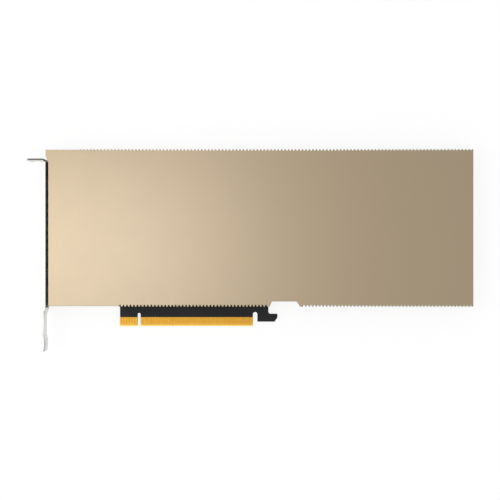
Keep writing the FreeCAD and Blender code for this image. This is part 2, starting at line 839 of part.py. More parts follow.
def make_bracket():
    body = new_body("folded_sheet")
    rear = size("bracket_rear")
    high = size("bracket_high")
    thickness = size("bracket_sheet")
    end = bracket_end
    tab_left = bracket_outer - size("tab_length")
    out = size("tongue_joggle_out")
    back_in = out - size("tongue_joggle_in")
    flare = back_in + size("tongue_flare")
    run = size("tongue_joggle_run")
    # Bends of the tongue, from the plate down: how far the sheet stands out, and where.
    bends = [
        (zero, end + size("tongue_joggle_high")),
        (out, end + size("tongue_joggle_high") - run),
        (out, end + size("tongue_joggle_low")),
        (back_in, end + size("tongue_joggle_low") - run),
        (back_in, end + size("tongue_flare_length")),
        (flare, end),
    ]
    section = new_sketch(body, "bracket_section", "XY_Plane", rear)
    inner_side = [(bracket_inner - shift, y) for shift, y in bends]
    outer_side = [(bracket_outer - shift, y) for shift, y in reversed(bends)]
    tab_top = [(tab_left, high), (bracket_inner, high)]
    tab_underside = [(bracket_outer, high - thickness), (tab_left, high - thickness)]
    add_polygon(section, tab_top + inner_side + outer_side + tab_underside)
    pad(body, section, "folded_strip", size("bracket_width"))
    bend_radius = size("bracket_bend_radius")
    treat_edges(body, "Fillet", "bend_outside", 2, [(bracket_inner, high)], bend_radius)
    inside = [(bracket_outer, high - thickness)]
    treat_edges(body, "Fillet", "bend_inside", 2, inside, bend_radius - thickness)
    tab_corners = [(tab_left, rear), (tab_left, bracket_front)]
    treat_edges(body, "Chamfer", "tab_corners", 1, tab_corners, size("tab_corner"))

    # The plate narrows to the tongue on both sides.
    shoulder = plate_low - size("tongue_shoulder")
    beyond = end - size("tab_corner")
    narrowing = new_sketch(body, "tongue_sides", "YZ_Plane", zero)
    for edge, step, outside in (
        (rear, size("tongue_rear_step"), -size("tab_corner")),
        (bracket_front, -size("tongue_front_step"), size("tab_corner")),
    ):
        add_polygon(narrowing, [
            (plate_low, edge + outside),
            (plate_low, edge),
            (shoulder, edge + step),
            (beyond, edge + step),
            (beyond, edge + outside),
        ])
    pocket(body, narrowing, "tongue")

    # The screw notch of the tab opens towards the solder side.
    notch_x = bracket_outer - size("tab_notch_reach")
    notch_z = rear + size("tab_notch_centre")
    notch = new_sketch(body, "tab_notch_sides", "XZ_Plane", zero)
    add_rectangle(notch, span(notch_x, size("tab_notch_width")), (rear - size("tab_corner"), notch_z))
    pocket(body, notch, "tab_notch")
    round_cut(body, "tab_notch_end", notch_x, notch_z, size("tab_notch_width") / 2, "XZ_Plane")

    # Two lugs are lanced out of the plate and folded on to the front of the board.
    windows = new_sketch(body, "lug_windows", "YZ_Plane", bracket_outer - thickness)
    for centre in lug_centres:
        window = span(centre, size("lug_width") + size("lug_relief") * 2)
        add_rectangle(windows, window, (zero, thickness + size("lug_length")))
    pocket(body, windows, "lug_openings", thickness * 3)
    lugs = new_sketch(body, "lug_outline", "XY_Plane", zero)
    for centre in lug_centres:
        lug_range = (bracket_outer, bracket_inner + size("lug_length"))
        add_rectangle(lugs, lug_range, span(centre, size("lug_width")))
    pad(body, lugs, "lugs", thickness)
    treat_edges(body, "Fillet", "lug_bends", 1, [(bracket_outer, thickness)], size("lug_bend_radius"))

    # Vents fill the plate between the lugs.
    vents = new_sketch(body, "vent_slots", "YZ_Plane", bracket_outer - thickness)
    vent_high = bracket_front - size("vent_front_margin")
    vent_z = (vent_high - size("vent_length"), vent_high)
    for y in vent_places():
        add_vent(vents, span(y, size("vent_width")), vent_z, size("vent_corner"))
    pocket(body, vents, "vents", thickness * 3)
    threads = drills("lug_thread", bracket_screw_places, (-thickness, thickness * 2), thread_radius)
    return cut_away("io_bracket", body, threads)


def vent_places():
    # Each stretch of plate between two lugs, or a lug and an end, takes as many vents as fit, centred in it.
    pitch = size("vent_pitch")
    half_window = size("lug_width") / 2 + size("lug_relief")
    stops = [plate_low]
    for centre in lug_centres:
        stops += [centre - half_window, centre + half_window]
    stops.append(size("bracket_high") - size("bracket_bend_radius"))
    places = []
    for low, high in zip(stops[::2], stops[1::2]):
        room = (high - low).value - SIZES["vent_width"] - SIZES["vent_end_margin"]
        count = math.floor(room / pitch.value) + 1
        first = (low + high) / 2 - pitch * ((count - 1) / 2)
        places += [first + pitch * index for index in range(count)]
    return places


# Processor package

def make_package():
    x = processor_x
    y = processor_y
    height = size("substrate_height")
    die_top = height + size("die_height")
    substrate = span(x, size("substrate_side")), span(y, size("substrate_side"))
    die = span(x, size("die_side")), span(y, size("die_side"))
    stiffener = new_body("package_stiffener")
    frame = new_sketch(stiffener, "stiffener_frame", "XY_Plane", height)
    outer = size("substrate_side") - size("stiffener_margin") * 2
    for side in (outer, outer - size("stiffener_band") * 2):
        add_rectangle(frame, span(x, side), span(y, side))
    pad(stiffener, frame, "stiffener", size("stiffener_height"))
    return [
        box("processor_substrate", *substrate, (zero, height)),
        box("processor_die", *die, (height, die_top)),
        box("die_thermal_paste", *die, (die_top, sink_gap)),
        stiffener,
    ]


# Memory round three sides of the processor

def make_memory():
    long = size("memory_long")
    short = size("memory_short")
    height = size("memory_height")
    offset = memory_offset
    step = (memory_pitch, MEMORY_PER_ROW)
    left = processor_x - offset
    row_y = processor_y + offset
    chips = new_body("memory_chips")
    column = span(left, short), span(first_of(processor_y, *step), long)
    plate_grid(chips, "memory_columns", *column, zero, height, (offset * 2, 2), step)
    row = span(first_of(processor_x, *step), long), span(row_y, short)
    plate_row(chips, "memory_row", *row, zero, height, "H_Axis", step)
    row_length = memory_pitch * (MEMORY_PER_ROW - 1) + long
    width = short - size("memory_pad_inset") * 2
    pads = [(span(x, width), span(processor_y, row_length)) for x in (left, processor_x + offset)]
    pads.append((span(processor_x, row_length), span(row_y, width)))
    return [chips, plates("memory_thermal_pads", pads, height, sink_gap - height)]


# Power circuit

def make_phases(label, columns, x_size, y_size, height):
    # Columns of equal parts, one part for each power phase, centred on the processor.
    body = new_body(label)
    pitch = size("phase_pitch")
    for name, x, count in columns:
        first = first_of(processor_y, pitch, count)
        place = span(x, x_size), span(first, y_size)
        plate_row(body, "%s_%s" % (label, name), *place, zero, height, "V_Axis", (pitch, count))
    return body


def phase_strip(x, count, x_size, y_size):
    # One strip over a whole column of phases.
    return span(x, x_size), span(processor_y, size("phase_pitch") * (count - 1) + y_size)


def make_power_circuit():
    side = size("inductor_side")
    stage = size("stage_width"), size("stage_length")
    capacitor = size("capacitor_width"), size("capacitor_length")
    inductor_columns = [("core", core_inductor_x, CORE_PHASES), ("memory", memory_inductor_x, MEMORY_PHASES)]
    stage_columns = [("core", core_stage_x, CORE_PHASES), ("memory", memory_stage_x, MEMORY_PHASES)]
    capacitor_columns = [("core", core_capacitor_x, CORE_PHASES), ("memory", memory_capacitor_x, MEMORY_PHASES)]
    inductor_pads = [phase_strip(x, count, side, side) for name, x, count in inductor_columns]
    inductor_pads.append(choke_outline(zero))
    stage_pads = [phase_strip(x, count, *stage) for name, x, count in stage_columns]
    inductor_height = size("inductor_height")
    stage_height = size("stage_height")
    return [
        make_phases("power_inductors", inductor_columns, side, side, inductor_height),
        plates("inductor_thermal_pads", inductor_pads, inductor_height, size("inductor_pad_height")),
        make_phases("power_stages", stage_columns, *stage, stage_height),
        plates("stage_thermal_pads", stage_pads, stage_height, sink_gap - stage_height),
        make_phases("block_capacitors", capacitor_columns, *capacitor, size("capacitor_height")),
        plates("input_choke", [choke_outline(zero)], zero, inductor_height),
    ]


def choke_outline(margin):
    side = size("choke_side") + margin * 2
    return span(choke_x, side), span(header_y, side)


def make_input_parts():
    def pair(label, x, x_size, y_size, height):
        half = size("fuse_pitch") / 2
        places = (header_y - half, header_y + half)
        return plates(label, [(span(x, x_size), span(y, y_size)) for y in places], zero, height)

    return [
        pair("input_fuses", fuse_x, size("fuse_length"), size("fuse_width"), size("fuse_height")),
        pair("sense_resistors", sense_x, size("sense_length"), size("sense_width"), size("sense_height")),
    ]


# Control chips and small parts

def make_control_parts():
    controller = size("controller_side")
    controllers = [
        (span(controller_x, controller), span(processor_y + size("controller_pitch") * side, controller))
        for side in (-0.5, 0.5)
    ]
    manager = span(manager_x, size("manager_side")), span(size("manager_y"), size("manager_side"))
    crystal = span(manager_x, size("crystal_length")), span(size("crystal_y"), size("crystal_width"))
    return [
        plates("power_controllers", controllers, zero, size("controller_height")),
        box("management_controller", *manager, (zero, size("manager_height"))),
        box("reference_crystal", *crystal, (zero, size("crystal_height"))),
        make_firmware_chip(),
    ]


def make_firmware_chip():
    body = new_body("firmware_chip")
    side = size("firmware_side")
    x = manager_x
    y = size("firmware_y")
    case = new_sketch(body, "firmware_case_outline", "XY_Plane", zero)
    add_rectangle(case, span(x, side), span(y, side))
    pad(body, case, "firmware_case", size("firmware_height"))
    leads = new_sketch(body, "firmware_leads_outline", "XY_Plane", zero)
    for index in range(FIRMWARE_LEADS):
        lead_y = y + size("lead_pitch") * (index - (FIRMWARE_LEADS - 1) / 2)
        add_rectangle(leads, span(x, side + size("lead_reach") * 2), span(lead_y, size("lead_width")))
    pad(body, leads, "firmware_leads", size("lead_height"))
    return body


def make_chip_capacitors():
    front = new_body("chip_capacitors_front")
    offset = (size("substrate_side") / 2 + memory_inner) / 2
    y_step = (size("chip_pitch"), FRONT_CHIPS_PER_SIDE)
    place = (
        span(processor_x - offset, size("chip_width")),
        span(first_of(processor_y, *y_step), size("chip_length")),
    )
    plate_grid(front, "front_chips", *place, zero, size("chip_height"), (offset * 2, 2), y_step)
    back = new_body("chip_capacitors_back")
    x_step = (size("back_chip_pitch"), BACK_CHIP_COLUMNS)
    y_step = (size("back_chip_pitch"), BACK_CHIP_ROWS)
    place = (
        span(first_of(processor_x, *x_step), size("back_chip_width")),
        span(first_of(processor_y, *y_step), size("back_chip_length")),
    )
    height = size("back_chip_height")
    plate_grid(back, "back_chips", *place, board_back - height, height, x_step, y_step)
    return [front, back]


# Power header

def header_rows():
    return [size("header_wall") + size("header_pitch") * (index + 0.5) for index in range(HEADER_ROWS)]


def header_columns():
    half = (HEADER_COLUMNS - 1) / 2
    return [header_y + size("header_pitch") * (half - index) for index in range(HEADER_COLUMNS)]


def pin_tail_x(line):
    return header_left - size("pin_tail_reach") - size("pin_row_step") * line


def pin_places():
    return [(pin_tail_x(line), y) for line in range(HEADER_ROWS) for y in header_columns()]


def make_header():
    body = new_body("power_header")
    wall = size("header_wall")
    top = size("header_pitch") * HEADER_ROWS + wall * 2
    outline = new_sketch(body, "header_outline", "XY_Plane", zero)
    add_rectangle(outline, (header_left, board_right), span(header_y, header_width))
    pad(body, outline, "header_block", top)
    depth = size("header_cavity_depth")
    cavities = new_sketch(body, "header_cavities", "YZ_Plane", board_right - depth)
    pin_holes = new_sketch(body, "header_pin_holes", "YZ_Plane", header_left)
    hole = size("pin_side") + size("pin_hole_clearance")
    for z in header_rows():
        for y in header_columns():
            add_rectangle(cavities, span(y, size("header_cavity")), span(z, size("header_cavity")))
            add_rectangle(pin_holes, span(y, hole), span(z, hole))
    pocket(body, cavities, "cavities", depth)
    pocket(body, pin_holes, "pin_openings", size("header_length") - depth)
    latch_width = size("header_latch_width")
    latch_front = board_right - wall
    latch_back = latch_front - size("header_latch_length")
    latch = new_sketch(body, "latch_ramp", "XZ_Plane", -(header_y + latch_width / 2))
    add_polygon(latch, [
        (latch_back, top),
        (latch_front, top),
        (latch_back, top + size("header_latch_height")),
    ])
    pad(body, latch, "latch", latch_width)
    return body


def make_header_pins():
    body = new_body("header_pins")
    half = size("pin_side") / 2
    tip = board_right - size("pin_inset")
    end = board_back - size("pin_below")
    outline = new_sketch(body, "pin_outline", "XZ_Plane", -(header_columns()[0] + half))
    for line, z in enumerate(header_rows()):
        tail = pin_tail_x(line)
        add_polygon(outline, [
            (tail - half, end),
            (tail + half, end),
            (tail + half, z - half),
            (tip, z - half),
            (tip, z + half),
            (tail - half, z + half),
        ])
    pins = pad(body, outline, "pin_pair", size("pin_side"))
    row_pattern(body, pins, "pin_row", outline, "N_Axis", size("header_pitch"), HEADER_COLUMNS)
    return body


# Heat sink

def chamber_outline(margin):
    reach = memory_outer + size("chamber_margin") + margin
    column = memory_pitch * ((MEMORY_PER_ROW - 1) / 2) + size("memory_long") / 2
    low = processor_y - column - size("chamber_margin") - margin
    return (processor_x - reach, processor_x + reach), (low, processor_y + reach)


def make_sink_plate():
    body = new_body("milled_plate")
    outline = new_sketch(body, "sink_outline", "XY_Plane", sink_gap)
    add_rectangle(outline, (sink_left, sink_right), (sink_low, sink_high))
    pad(body, outline, "sink_plate", size("sink_plate"))
    chamber = new_sketch(body, "chamber_recess_outline", "XY_Plane", sink_gap)
    add_rectangle(chamber, *chamber_outline(size("pocket_clearance")))
    pocket(body, chamber, "chamber_recess", size("chamber_height"))
    side = size("inductor_side") + size("pocket_clearance") * 2
    inductors = new_sketch(body, "inductor_recess_outline", "XY_Plane", sink_gap)
    add_rectangle(inductors, *phase_strip(core_inductor_x, CORE_PHASES, side, side))
    add_rectangle(inductors, *phase_strip(memory_inductor_x, MEMORY_PHASES, side, side))
    add_rectangle(inductors, *choke_outline(size("pocket_clearance")))
    recess = size("inductor_height") + size("inductor_pad_height") - sink_gap
    pocket(body, inductors, "inductor_recesses", recess)
    thread_z = (zero, sink_gap + size("sink_bore_depth"))
    return cut_away("heatsink_plate", body, drills("sink_thread", sink_screw_places, thread_z, thread_radius))


def make_chamber():
    top = sink_gap + size("chamber_height")
    return box("vapour_chamber", *chamber_outline(zero), (sink_gap, top))


def make_fins():
    body = new_body("fin_stack")
    thickness = size("fin_sheet")
    top = cover_roof - size("fin_top_gap")
    web_end = sink_low + thickness
    flange_end = sink_low + size("fin_pitch") - size("fin_joint")
    section = new_sketch(body, "fin_section", "YZ_Plane", sink_left)
    add_polygon(section, [
        (sink_low, sink_top),
        (flange_end, sink_top),
        (flange_end, sink_top + thickness),
        (web_end, sink_top + thickness),
        (web_end, top),
        (sink_low, top),
    ])
    fin = pad(body, section, "fin", sink_right - sink_left)
    count = math.floor((sink_high - sink_low).value / SIZES["fin_pitch"])
    row_pattern(body, fin, "fins", section, "H_Axis", size("fin_pitch"), count)
    return body


# Fasteners

def make_screws(label, places, head_radius, head_top, shank_top):
    heads = bars(label + "_head", places, (size("bracket_rear"), head_top), head_radius, HEAD_SIDES)
    shank_z = (head_top, shank_top)
    shanks = bars(label + "_shank", places, shank_z, size("screw_radius"), SHANK_SIDES)
    return fused(label, heads + shanks)


def make_standoffs(label, places, radius, top, bore_radius, bore_top):
    posts = bars(label + "_bar", places, (zero, top), radius, STANDOFF_SIDES)
    cutters = drills(label + "_bore", places, (-size("cover_gap"), bore_top), bore_radius)
    return cut_away(label, gather(label + "_bars", posts), cutters)


def make_extender_pillars():
    spigot = size("extender_spigot_radius")
    spigots = bars("extender_spigot", extender_places, (board_back, zero), spigot, HEAD_SIDES)
    posts = bars("extender_bar", extender_places, (zero, cover_roof), pillar_radius, STANDOFF_SIDES)
    thread_z = (board_back, board_back + size("extender_bore_depth"))
    threads = rounds("extender_thread", extender_places, thread_z, thread_radius)
    return cut_away("extender_pillars", fused("extender_blanks", spigots + posts), threads)


# Retention spring behind the processor

def make_spring():
    body = new_body("spring_blank")
    top = board_back - size("insulator_sheet")
    reach = spring_reach + size("spring_arm")
    root = spring_reach - size("spring_arm")
    waist = size("spring_waist")
    quarter = [(waist, zero), (reach, root), (reach, reach), (root, reach)]
    points = []
    for turn in range(4):
        points += [(processor_x + x, processor_y + y) for x, y in quarter]
        quarter = [(-y, x) for x, y in quarter]
    outline = new_sketch(body, "spring_outline", "XY_Plane", top - size("spring_sheet"))
    add_polygon(outline, points)
    pad(body, outline, "spring_plate", size("spring_sheet"))
    corners = [(processor_x + reach * x, processor_y + reach * y) for x in (-1, 1) for y in (-1, 1)]
    treat_edges(body, "Fillet", "spring_arm_ends", 2, corners, size("spring_arm"))
    window = new_sketch(body, "spring_window_outline", "XY_Plane", zero)
    side = size("spring_window") * 2
    add_rectangle(window, span(processor_x, side), span(processor_y, side))
    pocket(body, window, "spring_window")
    holes = drills("spring_hole", spring_places, (size("bracket_rear"), zero), hole_radius)
    return cut_away("retention_spring", body, holes)


def make_insulator():
    body = new_body("spring_insulator")
    outline = new_sketch(body, "insulator_ring", "XY_Plane", board_back - size("insulator_sheet"))
    for side in ((size("spring_window") + size("insulator_overlap")) * 2, size("spring_window") * 2):
        add_rectangle(outline, span(processor_x, side), span(processor_y, side))
    pad(body, outline, "insulator", size("insulator_sheet"))
    return body


def make_fasteners():
    head = size("head_radius")
    spring_back = board_back - size("insulator_sheet") - size("spring_sheet")
    post = size("spring_post_radius")
    post_top = sink_gap
    bore_top = post_top + size("cover_gap")
    bore_depth = size("pillar_bore_depth")
    return [
        make_standoffs("cover_pillars", cover_pillar_places, pillar_radius, cover_roof, thread_radius, bore_depth),
        make_extender_pillars(),
        make_standoffs("heatsink_posts", sink_screw_places, pillar_radius, post_top, hole_radius, bore_top),
        make_standoffs("processor_posts", spring_places, post, post_top, thread_radius, bore_top),
        make_screws("cover_screws", cover_pillar_places, head, board_back, size("pillar_screw_depth")),
        make_screws("bracket_screws", bracket_screw_places, head, board_back, size("bracket_sheet")),
        make_screws(
            "heatsink_screws", sink_screw_places, head, board_back, sink_gap + size("sink_screw_depth")
        ),
        make_screws(
            "spring_screws", spring_places, size("spring_head_radius"), spring_back, size("spring_screw_top")
        ),
        make_spring(),
        make_insulator(),
    ]


pieces = [
    make_circuit_board(),
    make_contacts("edge_contacts_front", zero, PRESENCE_FRONT),
    make_contacts("edge_contacts_back", board_back - size("contact_thickness"), PRESENCE_BACK),
    make_shroud(),
    make_bracket(),
    *make_package(),
    *make_memory(),
    *make_power_circuit(),
    *make_input_parts(),
    *make_control_parts(),
    *make_chip_capacitors(),
    make_header(),
    make_header_pins(),
    make_sink_plate(),
    make_chamber(),
    make_fins(),
    *make_fasteners(),
]
doc.recompute()

for item in doc.Objects:
    if {"Invalid", "Error"} & set(item.State):
        raise RuntimeError("%s failed: %s" % (item.Label, item.State))
for piece in pieces:
    if piece.Shape.isNull() or not piece.Shape.isValid():
        raise RuntimeError("%s has no valid shape" % piece.Label)

os.makedirs("parts", exist_ok=True)
for piece in pieces:
    piece.Shape.exportStep("parts/%s.step" % piece.Label)
    print("%-24s %3d solids  %10.1f mm3" % (piece.Label, len(piece.Shape.Solids), piece.Shape.Volume))
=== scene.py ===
from math import ceil, cos, degrees, pi, radians, sin, tan, tau

import bmesh
import bpy
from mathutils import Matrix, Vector


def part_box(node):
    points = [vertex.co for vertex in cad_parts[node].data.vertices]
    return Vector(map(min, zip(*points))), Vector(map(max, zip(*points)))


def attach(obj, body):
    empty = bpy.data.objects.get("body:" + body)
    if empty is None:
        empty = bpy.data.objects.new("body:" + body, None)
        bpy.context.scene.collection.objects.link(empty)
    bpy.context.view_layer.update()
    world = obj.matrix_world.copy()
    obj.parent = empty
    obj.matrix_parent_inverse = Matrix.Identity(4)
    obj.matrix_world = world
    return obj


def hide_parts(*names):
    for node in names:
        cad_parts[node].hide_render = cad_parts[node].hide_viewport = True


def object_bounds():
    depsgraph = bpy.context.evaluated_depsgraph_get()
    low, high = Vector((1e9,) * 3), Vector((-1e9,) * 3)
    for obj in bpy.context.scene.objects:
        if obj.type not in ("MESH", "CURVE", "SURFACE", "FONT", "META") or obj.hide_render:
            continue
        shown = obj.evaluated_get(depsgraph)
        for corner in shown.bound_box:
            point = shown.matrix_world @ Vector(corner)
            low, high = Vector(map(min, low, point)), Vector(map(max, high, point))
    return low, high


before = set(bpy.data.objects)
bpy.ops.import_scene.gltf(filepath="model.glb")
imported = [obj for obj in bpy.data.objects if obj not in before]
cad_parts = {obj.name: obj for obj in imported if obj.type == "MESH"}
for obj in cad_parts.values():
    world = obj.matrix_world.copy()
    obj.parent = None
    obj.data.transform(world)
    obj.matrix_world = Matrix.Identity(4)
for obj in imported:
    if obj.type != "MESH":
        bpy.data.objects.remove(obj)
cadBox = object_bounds()
print("frame loaded:", len(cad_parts), "nodes")

mm = 0.001
rideOn = "root"  # the card has no moving parts, so everything rides on one body
levelFacing = 0.999  # the least that the normal of a level face points up or down


def boxOf(node):
    # lowest and highest corner of a solid, in millimetres
    low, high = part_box(node)
    return low / mm, high / mm


# meshes

def meshFrom(name, points, faces):
    # points in millimetres
    mesh = bpy.data.meshes.new(name)
    mesh.from_pydata([Vector(point) * mm for point in points], [], faces)
    return mesh


def addObject(name, data):
    piece = bpy.data.objects.new(name, data)
    bpy.context.scene.collection.objects.link(piece)
    return piece


def editMesh(mesh):
    work = bmesh.new()
    work.from_mesh(mesh)
    return work


def saveMesh(work, mesh):
    work.to_mesh(mesh)
    work.free()


def smoothMesh(mesh, angle=35, flatCaps=False):
    # points the faces outwards and keeps only edges sharper than the angle crisp
    work = editMesh(mesh)
    bmesh.ops.remove_doubles(work, verts=work.verts, dist=2e-7)
    bmesh.ops.recalc_face_normals(work, faces=work.faces)
    for face in work.faces:
        face.smooth = not (flatCaps and abs(face.normal.z) > levelFacing)
    for edge in work.edges:
        edge.smooth = len(edge.link_faces) == 2 and edge.calc_face_angle(0) < radians(angle)
    saveMesh(work, mesh)


def closedRings(rings, tip=None, base=None):
    # points and faces of a closed skin through rings with the same number of points
    count = len(rings[0])
    points = [point for ring in rings for point in ring]
    faces = []
    for level in range(len(rings) - 1):
        for index in range(count):
            after = (index + 1) % count
            start, above = level * count, (level + 1) * count
            faces.append((start + index, start + after, above + after, above + index))
    last = (len(rings) - 1) * count
    for centre, first, turn in ((base, 0, -1), (tip, last, 1)):
        ring = [first + index for index in range(count)]
        if centre is None:
            faces.append(ring[::turn])
        else:
            points.append(centre)
            for index in range(count):
                pair = (ring[index], ring[(index + 1) % count])
                faces.append((*pair[::turn], len(points) - 1))
    return points, faces


def circle(radius, z, count, lobes=0, wave=0.0):
    # a ring of points, with lobes for a driver recess
    ring = []
    for index in range(count):
        turn = tau * index / count
        reach = radius + wave * cos(lobes * turn)
        ring.append((reach * cos(turn), reach * sin(turn), z))
    return ring


def keepPiece(piece, slotName, *nodes):
    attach(piece, rideOn)
    if nodes:
        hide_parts(*nodes)


# node trees

def newTree(name, kind, inputs, outputs):
    tree = bpy.data.node_groups.new(name, kind)
    for way, sockets in (("INPUT", inputs), ("OUTPUT", outputs)):
        for label, socketKind in sockets.items():
            tree.interface.new_socket(label, in_out=way, socket_type="NodeSocket" + socketKind)
    return tree, tree.nodes.new("NodeGroupInput").outputs, tree.nodes.new("NodeGroupOutput").inputs


def feed(socket, value):
    # a socket takes a plain value, or a link from the socket that feeds it
    if isinstance(value, bpy.types.NodeSocket):
        socket.id_data.links.new(value, socket)
    else:
        socket.default_value = value


def addNode(tree, kind, inputs=(), **options):
    # inputs are pairs of a socket's name or place and what feeds it
    node = tree.nodes.new(kind)
    for option, value in options.items():
        setattr(node, option, value)
    for label, value in inputs:
        feed(node.inputs[label], value)
    return node


# calc, times, mixColour, axesOf, noiseOf and shapeOf work in the tree of the socket that they are given

def calc(operation, *values, clamp=False):
    tree = next(value.id_data for value in values if isinstance(value, bpy.types.NodeSocket))
    node = addNode(tree, "ShaderNodeMath", enumerate(values), operation=operation, use_clamp=clamp)
    return node.outputs[0]


def times(first, second, clamp=False):
    return calc("MULTIPLY", first, second, clamp=clamp)


def mixColour(amount, first, second):
    node = addNode(amount.id_data, "ShaderNodeMix", data_type="RGBA")
    for index, value in ((0, amount), (6, first), (7, second)):
        feed(node.inputs[index], (*value, 1) if isinstance(value, tuple) else value)
    return node.outputs[2]


def axesOf(vector):
    return addNode(vector.id_data, "ShaderNodeSeparateXYZ", [(0, vector)]).outputs


def facingOf(tree):
    return axesOf(addNode(tree, "ShaderNodeNewGeometry").outputs["Normal"])


def noiseOf(place, scale, detail, roughness=0.5, distortion=0.0):
    return addNode(place.id_data, "ShaderNodeTexNoise", [
        ("Vector", place), ("Scale", scale), ("Detail", detail),
        ("Roughness", roughness), ("Distortion", distortion),
    ]).outputs[0]


def shapeOf(item):
    return addNode(item.id_data, "GeometryNodeObjectInfo", [("Object", item)]).outputs["Geometry"]


def bakeTree(name, mesh, tree, values):
    # runs the tree on the mesh with these inputs and returns a plain object
    carrier = addObject(name + "Carrier", mesh)
    modifier = carrier.modifiers.new("repeat", "NODES")
    modifier.node_group = tree
    for item in tree.interface.items_tree:
        if item.in_out == "INPUT" and item.name in values:
            modifier[item.identifier] = values[item.name]
    bpy.context.view_layer.update()
    evaluated = carrier.evaluated_get(bpy.context.evaluated_depsgraph_get())
    plain = bpy.data.meshes.new_from_object(evaluated)
    carrier.modifiers.remove(modifier)
    bpy.data.objects.remove(carrier)
    plain.name = name
    return addObject(name, plain)


def endTree(tree, geometry, finish, result):
    # makes instances real, gives them their finish and puts them out
    real = addNode(tree, "GeometryNodeRealizeInstances", [(0, geometry)])
    dressed = addNode(tree, "GeometryNodeSetMaterial", [("Geometry", real.outputs[0]), ("Material", finish)])
    feed(result[0], dressed.outputs[0])
    return tree


# shader groups that several finishes share

def makeGrainGroup():
    # fine grain of a blasted, moulded or brushed surface
    tree, given, result = newTree("grain", "ShaderNodeTree", {
        "Place": "Vector", "Size": "Float", "Contrast": "Float",
    }, {"Tone": "Float", "Height": "Float"})
    noise = noiseOf(given["Place"], calc("DIVIDE", 1.0, given["Size"]), 3.0, 0.6)
    swing = times(calc("SUBTRACT", noise, 0.5), given["Contrast"])
    feed(result["Tone"], calc("MULTIPLY_ADD", swing, 2.0, 1.0))
    feed(result["Height"], noise)
    return tree


def makePatinaGroup():
    # slow, cloudy change of tone and gloss from handling and from the bath a finish comes out of
    tree, given, result = newTree("patina", "ShaderNodeTree", {
        "Place": "Vector", "Size": "Float", "Contrast": "Float", "Gloss Change": "Float",
    }, {"Tone": "Float", "Roughness": "Float"})
    scale = calc("DIVIDE", 1.0, given["Size"])
    clouds = noiseOf(given["Place"], scale, 4.0, 0.55, 0.4)
    marks = noiseOf(given["Place"], times(scale, 3.7), 5.0, 0.7)
    contrast = times(given["Contrast"], 2.0)
    tone = calc("MULTIPLY_ADD", calc("SUBTRACT", clouds, 0.5), contrast, 1.0)
    change = times(given["Gloss Change"], 2.0)
    gloss = times(calc("SUBTRACT", marks, 0.5), change)
    feed(result["Tone"], tone)
    feed(result["Roughness"], gloss)
    return tree


def makeWornAndSheenRimGroup():
    # worn rims that are also a painted edge highlight: where the rounded normal leaves the flat one, broken
    # up by noise
    tree, given, result = newTree("rimWear", "ShaderNodeTree", {
        "Place": "Vector", "Radius": "Float", "Amount": "Float",
    }, {"Mask": "Float"})
    rounded = addNode(tree, "ShaderNodeBevel", [("Radius", given["Radius"])], samples=4).outputs[0]
    flat = addNode(tree, "ShaderNodeNewGeometry").outputs["Normal"]
    facing = addNode(tree, "ShaderNodeVectorMath", [(0, rounded), (1, flat)], operation="DOT_PRODUCT")
    rim = times(calc("SUBTRACT", 1.0, facing.outputs["Value"]), 4.0, clamp=True)
    breakUp = noiseOf(given["Place"], 900.0, 2.0)
    broken = times(rim, calc("MULTIPLY_ADD", breakUp, 1.2, 0.2, clamp=True))
    feed(result["Mask"], times(broken, given["Amount"], clamp=True))
    return tree


grainGroup = makeGrainGroup()
patinaGroup = makePatinaGroup()
wornAndSheenRimGroup = makeWornAndSheenRimGroup()


def placeGroup(tree, group, values):
    return addNode(tree, "ShaderNodeGroup", values.items(), node_tree=group).outputs


# what a finish has unless its own look says otherwise
usualLook = {
    "metal": 0.0, "roughness": 0.5, "shine": 0.5, "glossChange": 0.10,
    "coat": 0.0, "coatRoughness": 0.1, "coatIndex": 1.5, "stretch": (1, 1, 1),
    "grainSize": 0.4, "grainTone": 0.05, "grainDepth": 0.008, "bump": 0.3,
    "patinaSize": 25, "patinaTone": 0.08, "rimWidth": 0.15, "rimWear": 0.3,
}


def startFinish(name, look):
    # a principled surface with slow patina, fine grain, bump and rims from its look; the rim colour is wear
    # and also a painted edge highlight
    look = {**usualLook, "wornAndSheenRimColour": look["colour"], **look}
    material = bpy.data.materials.new(name)
    material.use_nodes = True
    tree = material.node_tree
    surface = tree.nodes["Principled BSDF"]
    for label, key in (("Metallic", "metal"), ("Specular IOR Level", "shine"), ("Coat Weight", "coat"),
                       ("Coat Roughness", "coatRoughness"), ("Coat IOR", "coatIndex")):
        surface.inputs[label].default_value = look[key]
    place = addNode(tree, "ShaderNodeTexCoord").outputs["Object"]
    turned = addNode(tree, "ShaderNodeMapping", [("Vector", place), ("Scale", look["stretch"])]).outputs[0]
    grain = placeGroup(tree, grainGroup, {
        "Place": turned, "Size": look["grainSize"] * mm, "Contrast": look["grainTone"],
    })
    patina = placeGroup(tree, patinaGroup, {
        "Place": place, "Size": look["patinaSize"] * mm,
        "Contrast": look["patinaTone"], "Gloss Change": look["glossChange"],
    })
    rims = placeGroup(tree, wornAndSheenRimGroup, {
        "Place": place, "Radius": look["rimWidth"] * mm, "Amount": look["rimWear"],
    })
    tone = times(grain["Tone"], patina["Tone"])
    toned = addNode(tree, "ShaderNodeVectorMath", [(0, look["colour"]), ("Scale", tone)], operation="SCALE")
    # the rims take their colour: partly wear, partly a painted edge highlight
    colour = mixColour(rims["Mask"], toned.outputs[0], look["wornAndSheenRimColour"])
    roughness = calc("ADD", patina["Roughness"], look["roughness"], clamp=True)
    bump = addNode(tree, "ShaderNodeBump", [
        ("Height", grain["Height"]), ("Strength", look["bump"]), ("Distance", look["grainDepth"] * mm),
    ])
    feed(surface.inputs["Base Color"], colour)
    feed(surface.inputs["Roughness"], roughness)
    feed(surface.inputs["Normal"], bump.outputs[0])
    return {
        "material": material, "tree": tree, "surface": surface, "place": place, "grain": grain,
        "colour": colour, "roughness": roughness, "bump": bump,
    }


def makeFinish(name, look):
    return startFinish(name, look)["material"]


def dressSolids(material, *nodes):
    # gives solids whose shape is right a finish
    for node in nodes:
        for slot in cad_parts[node].material_slots:
            slot.material = material


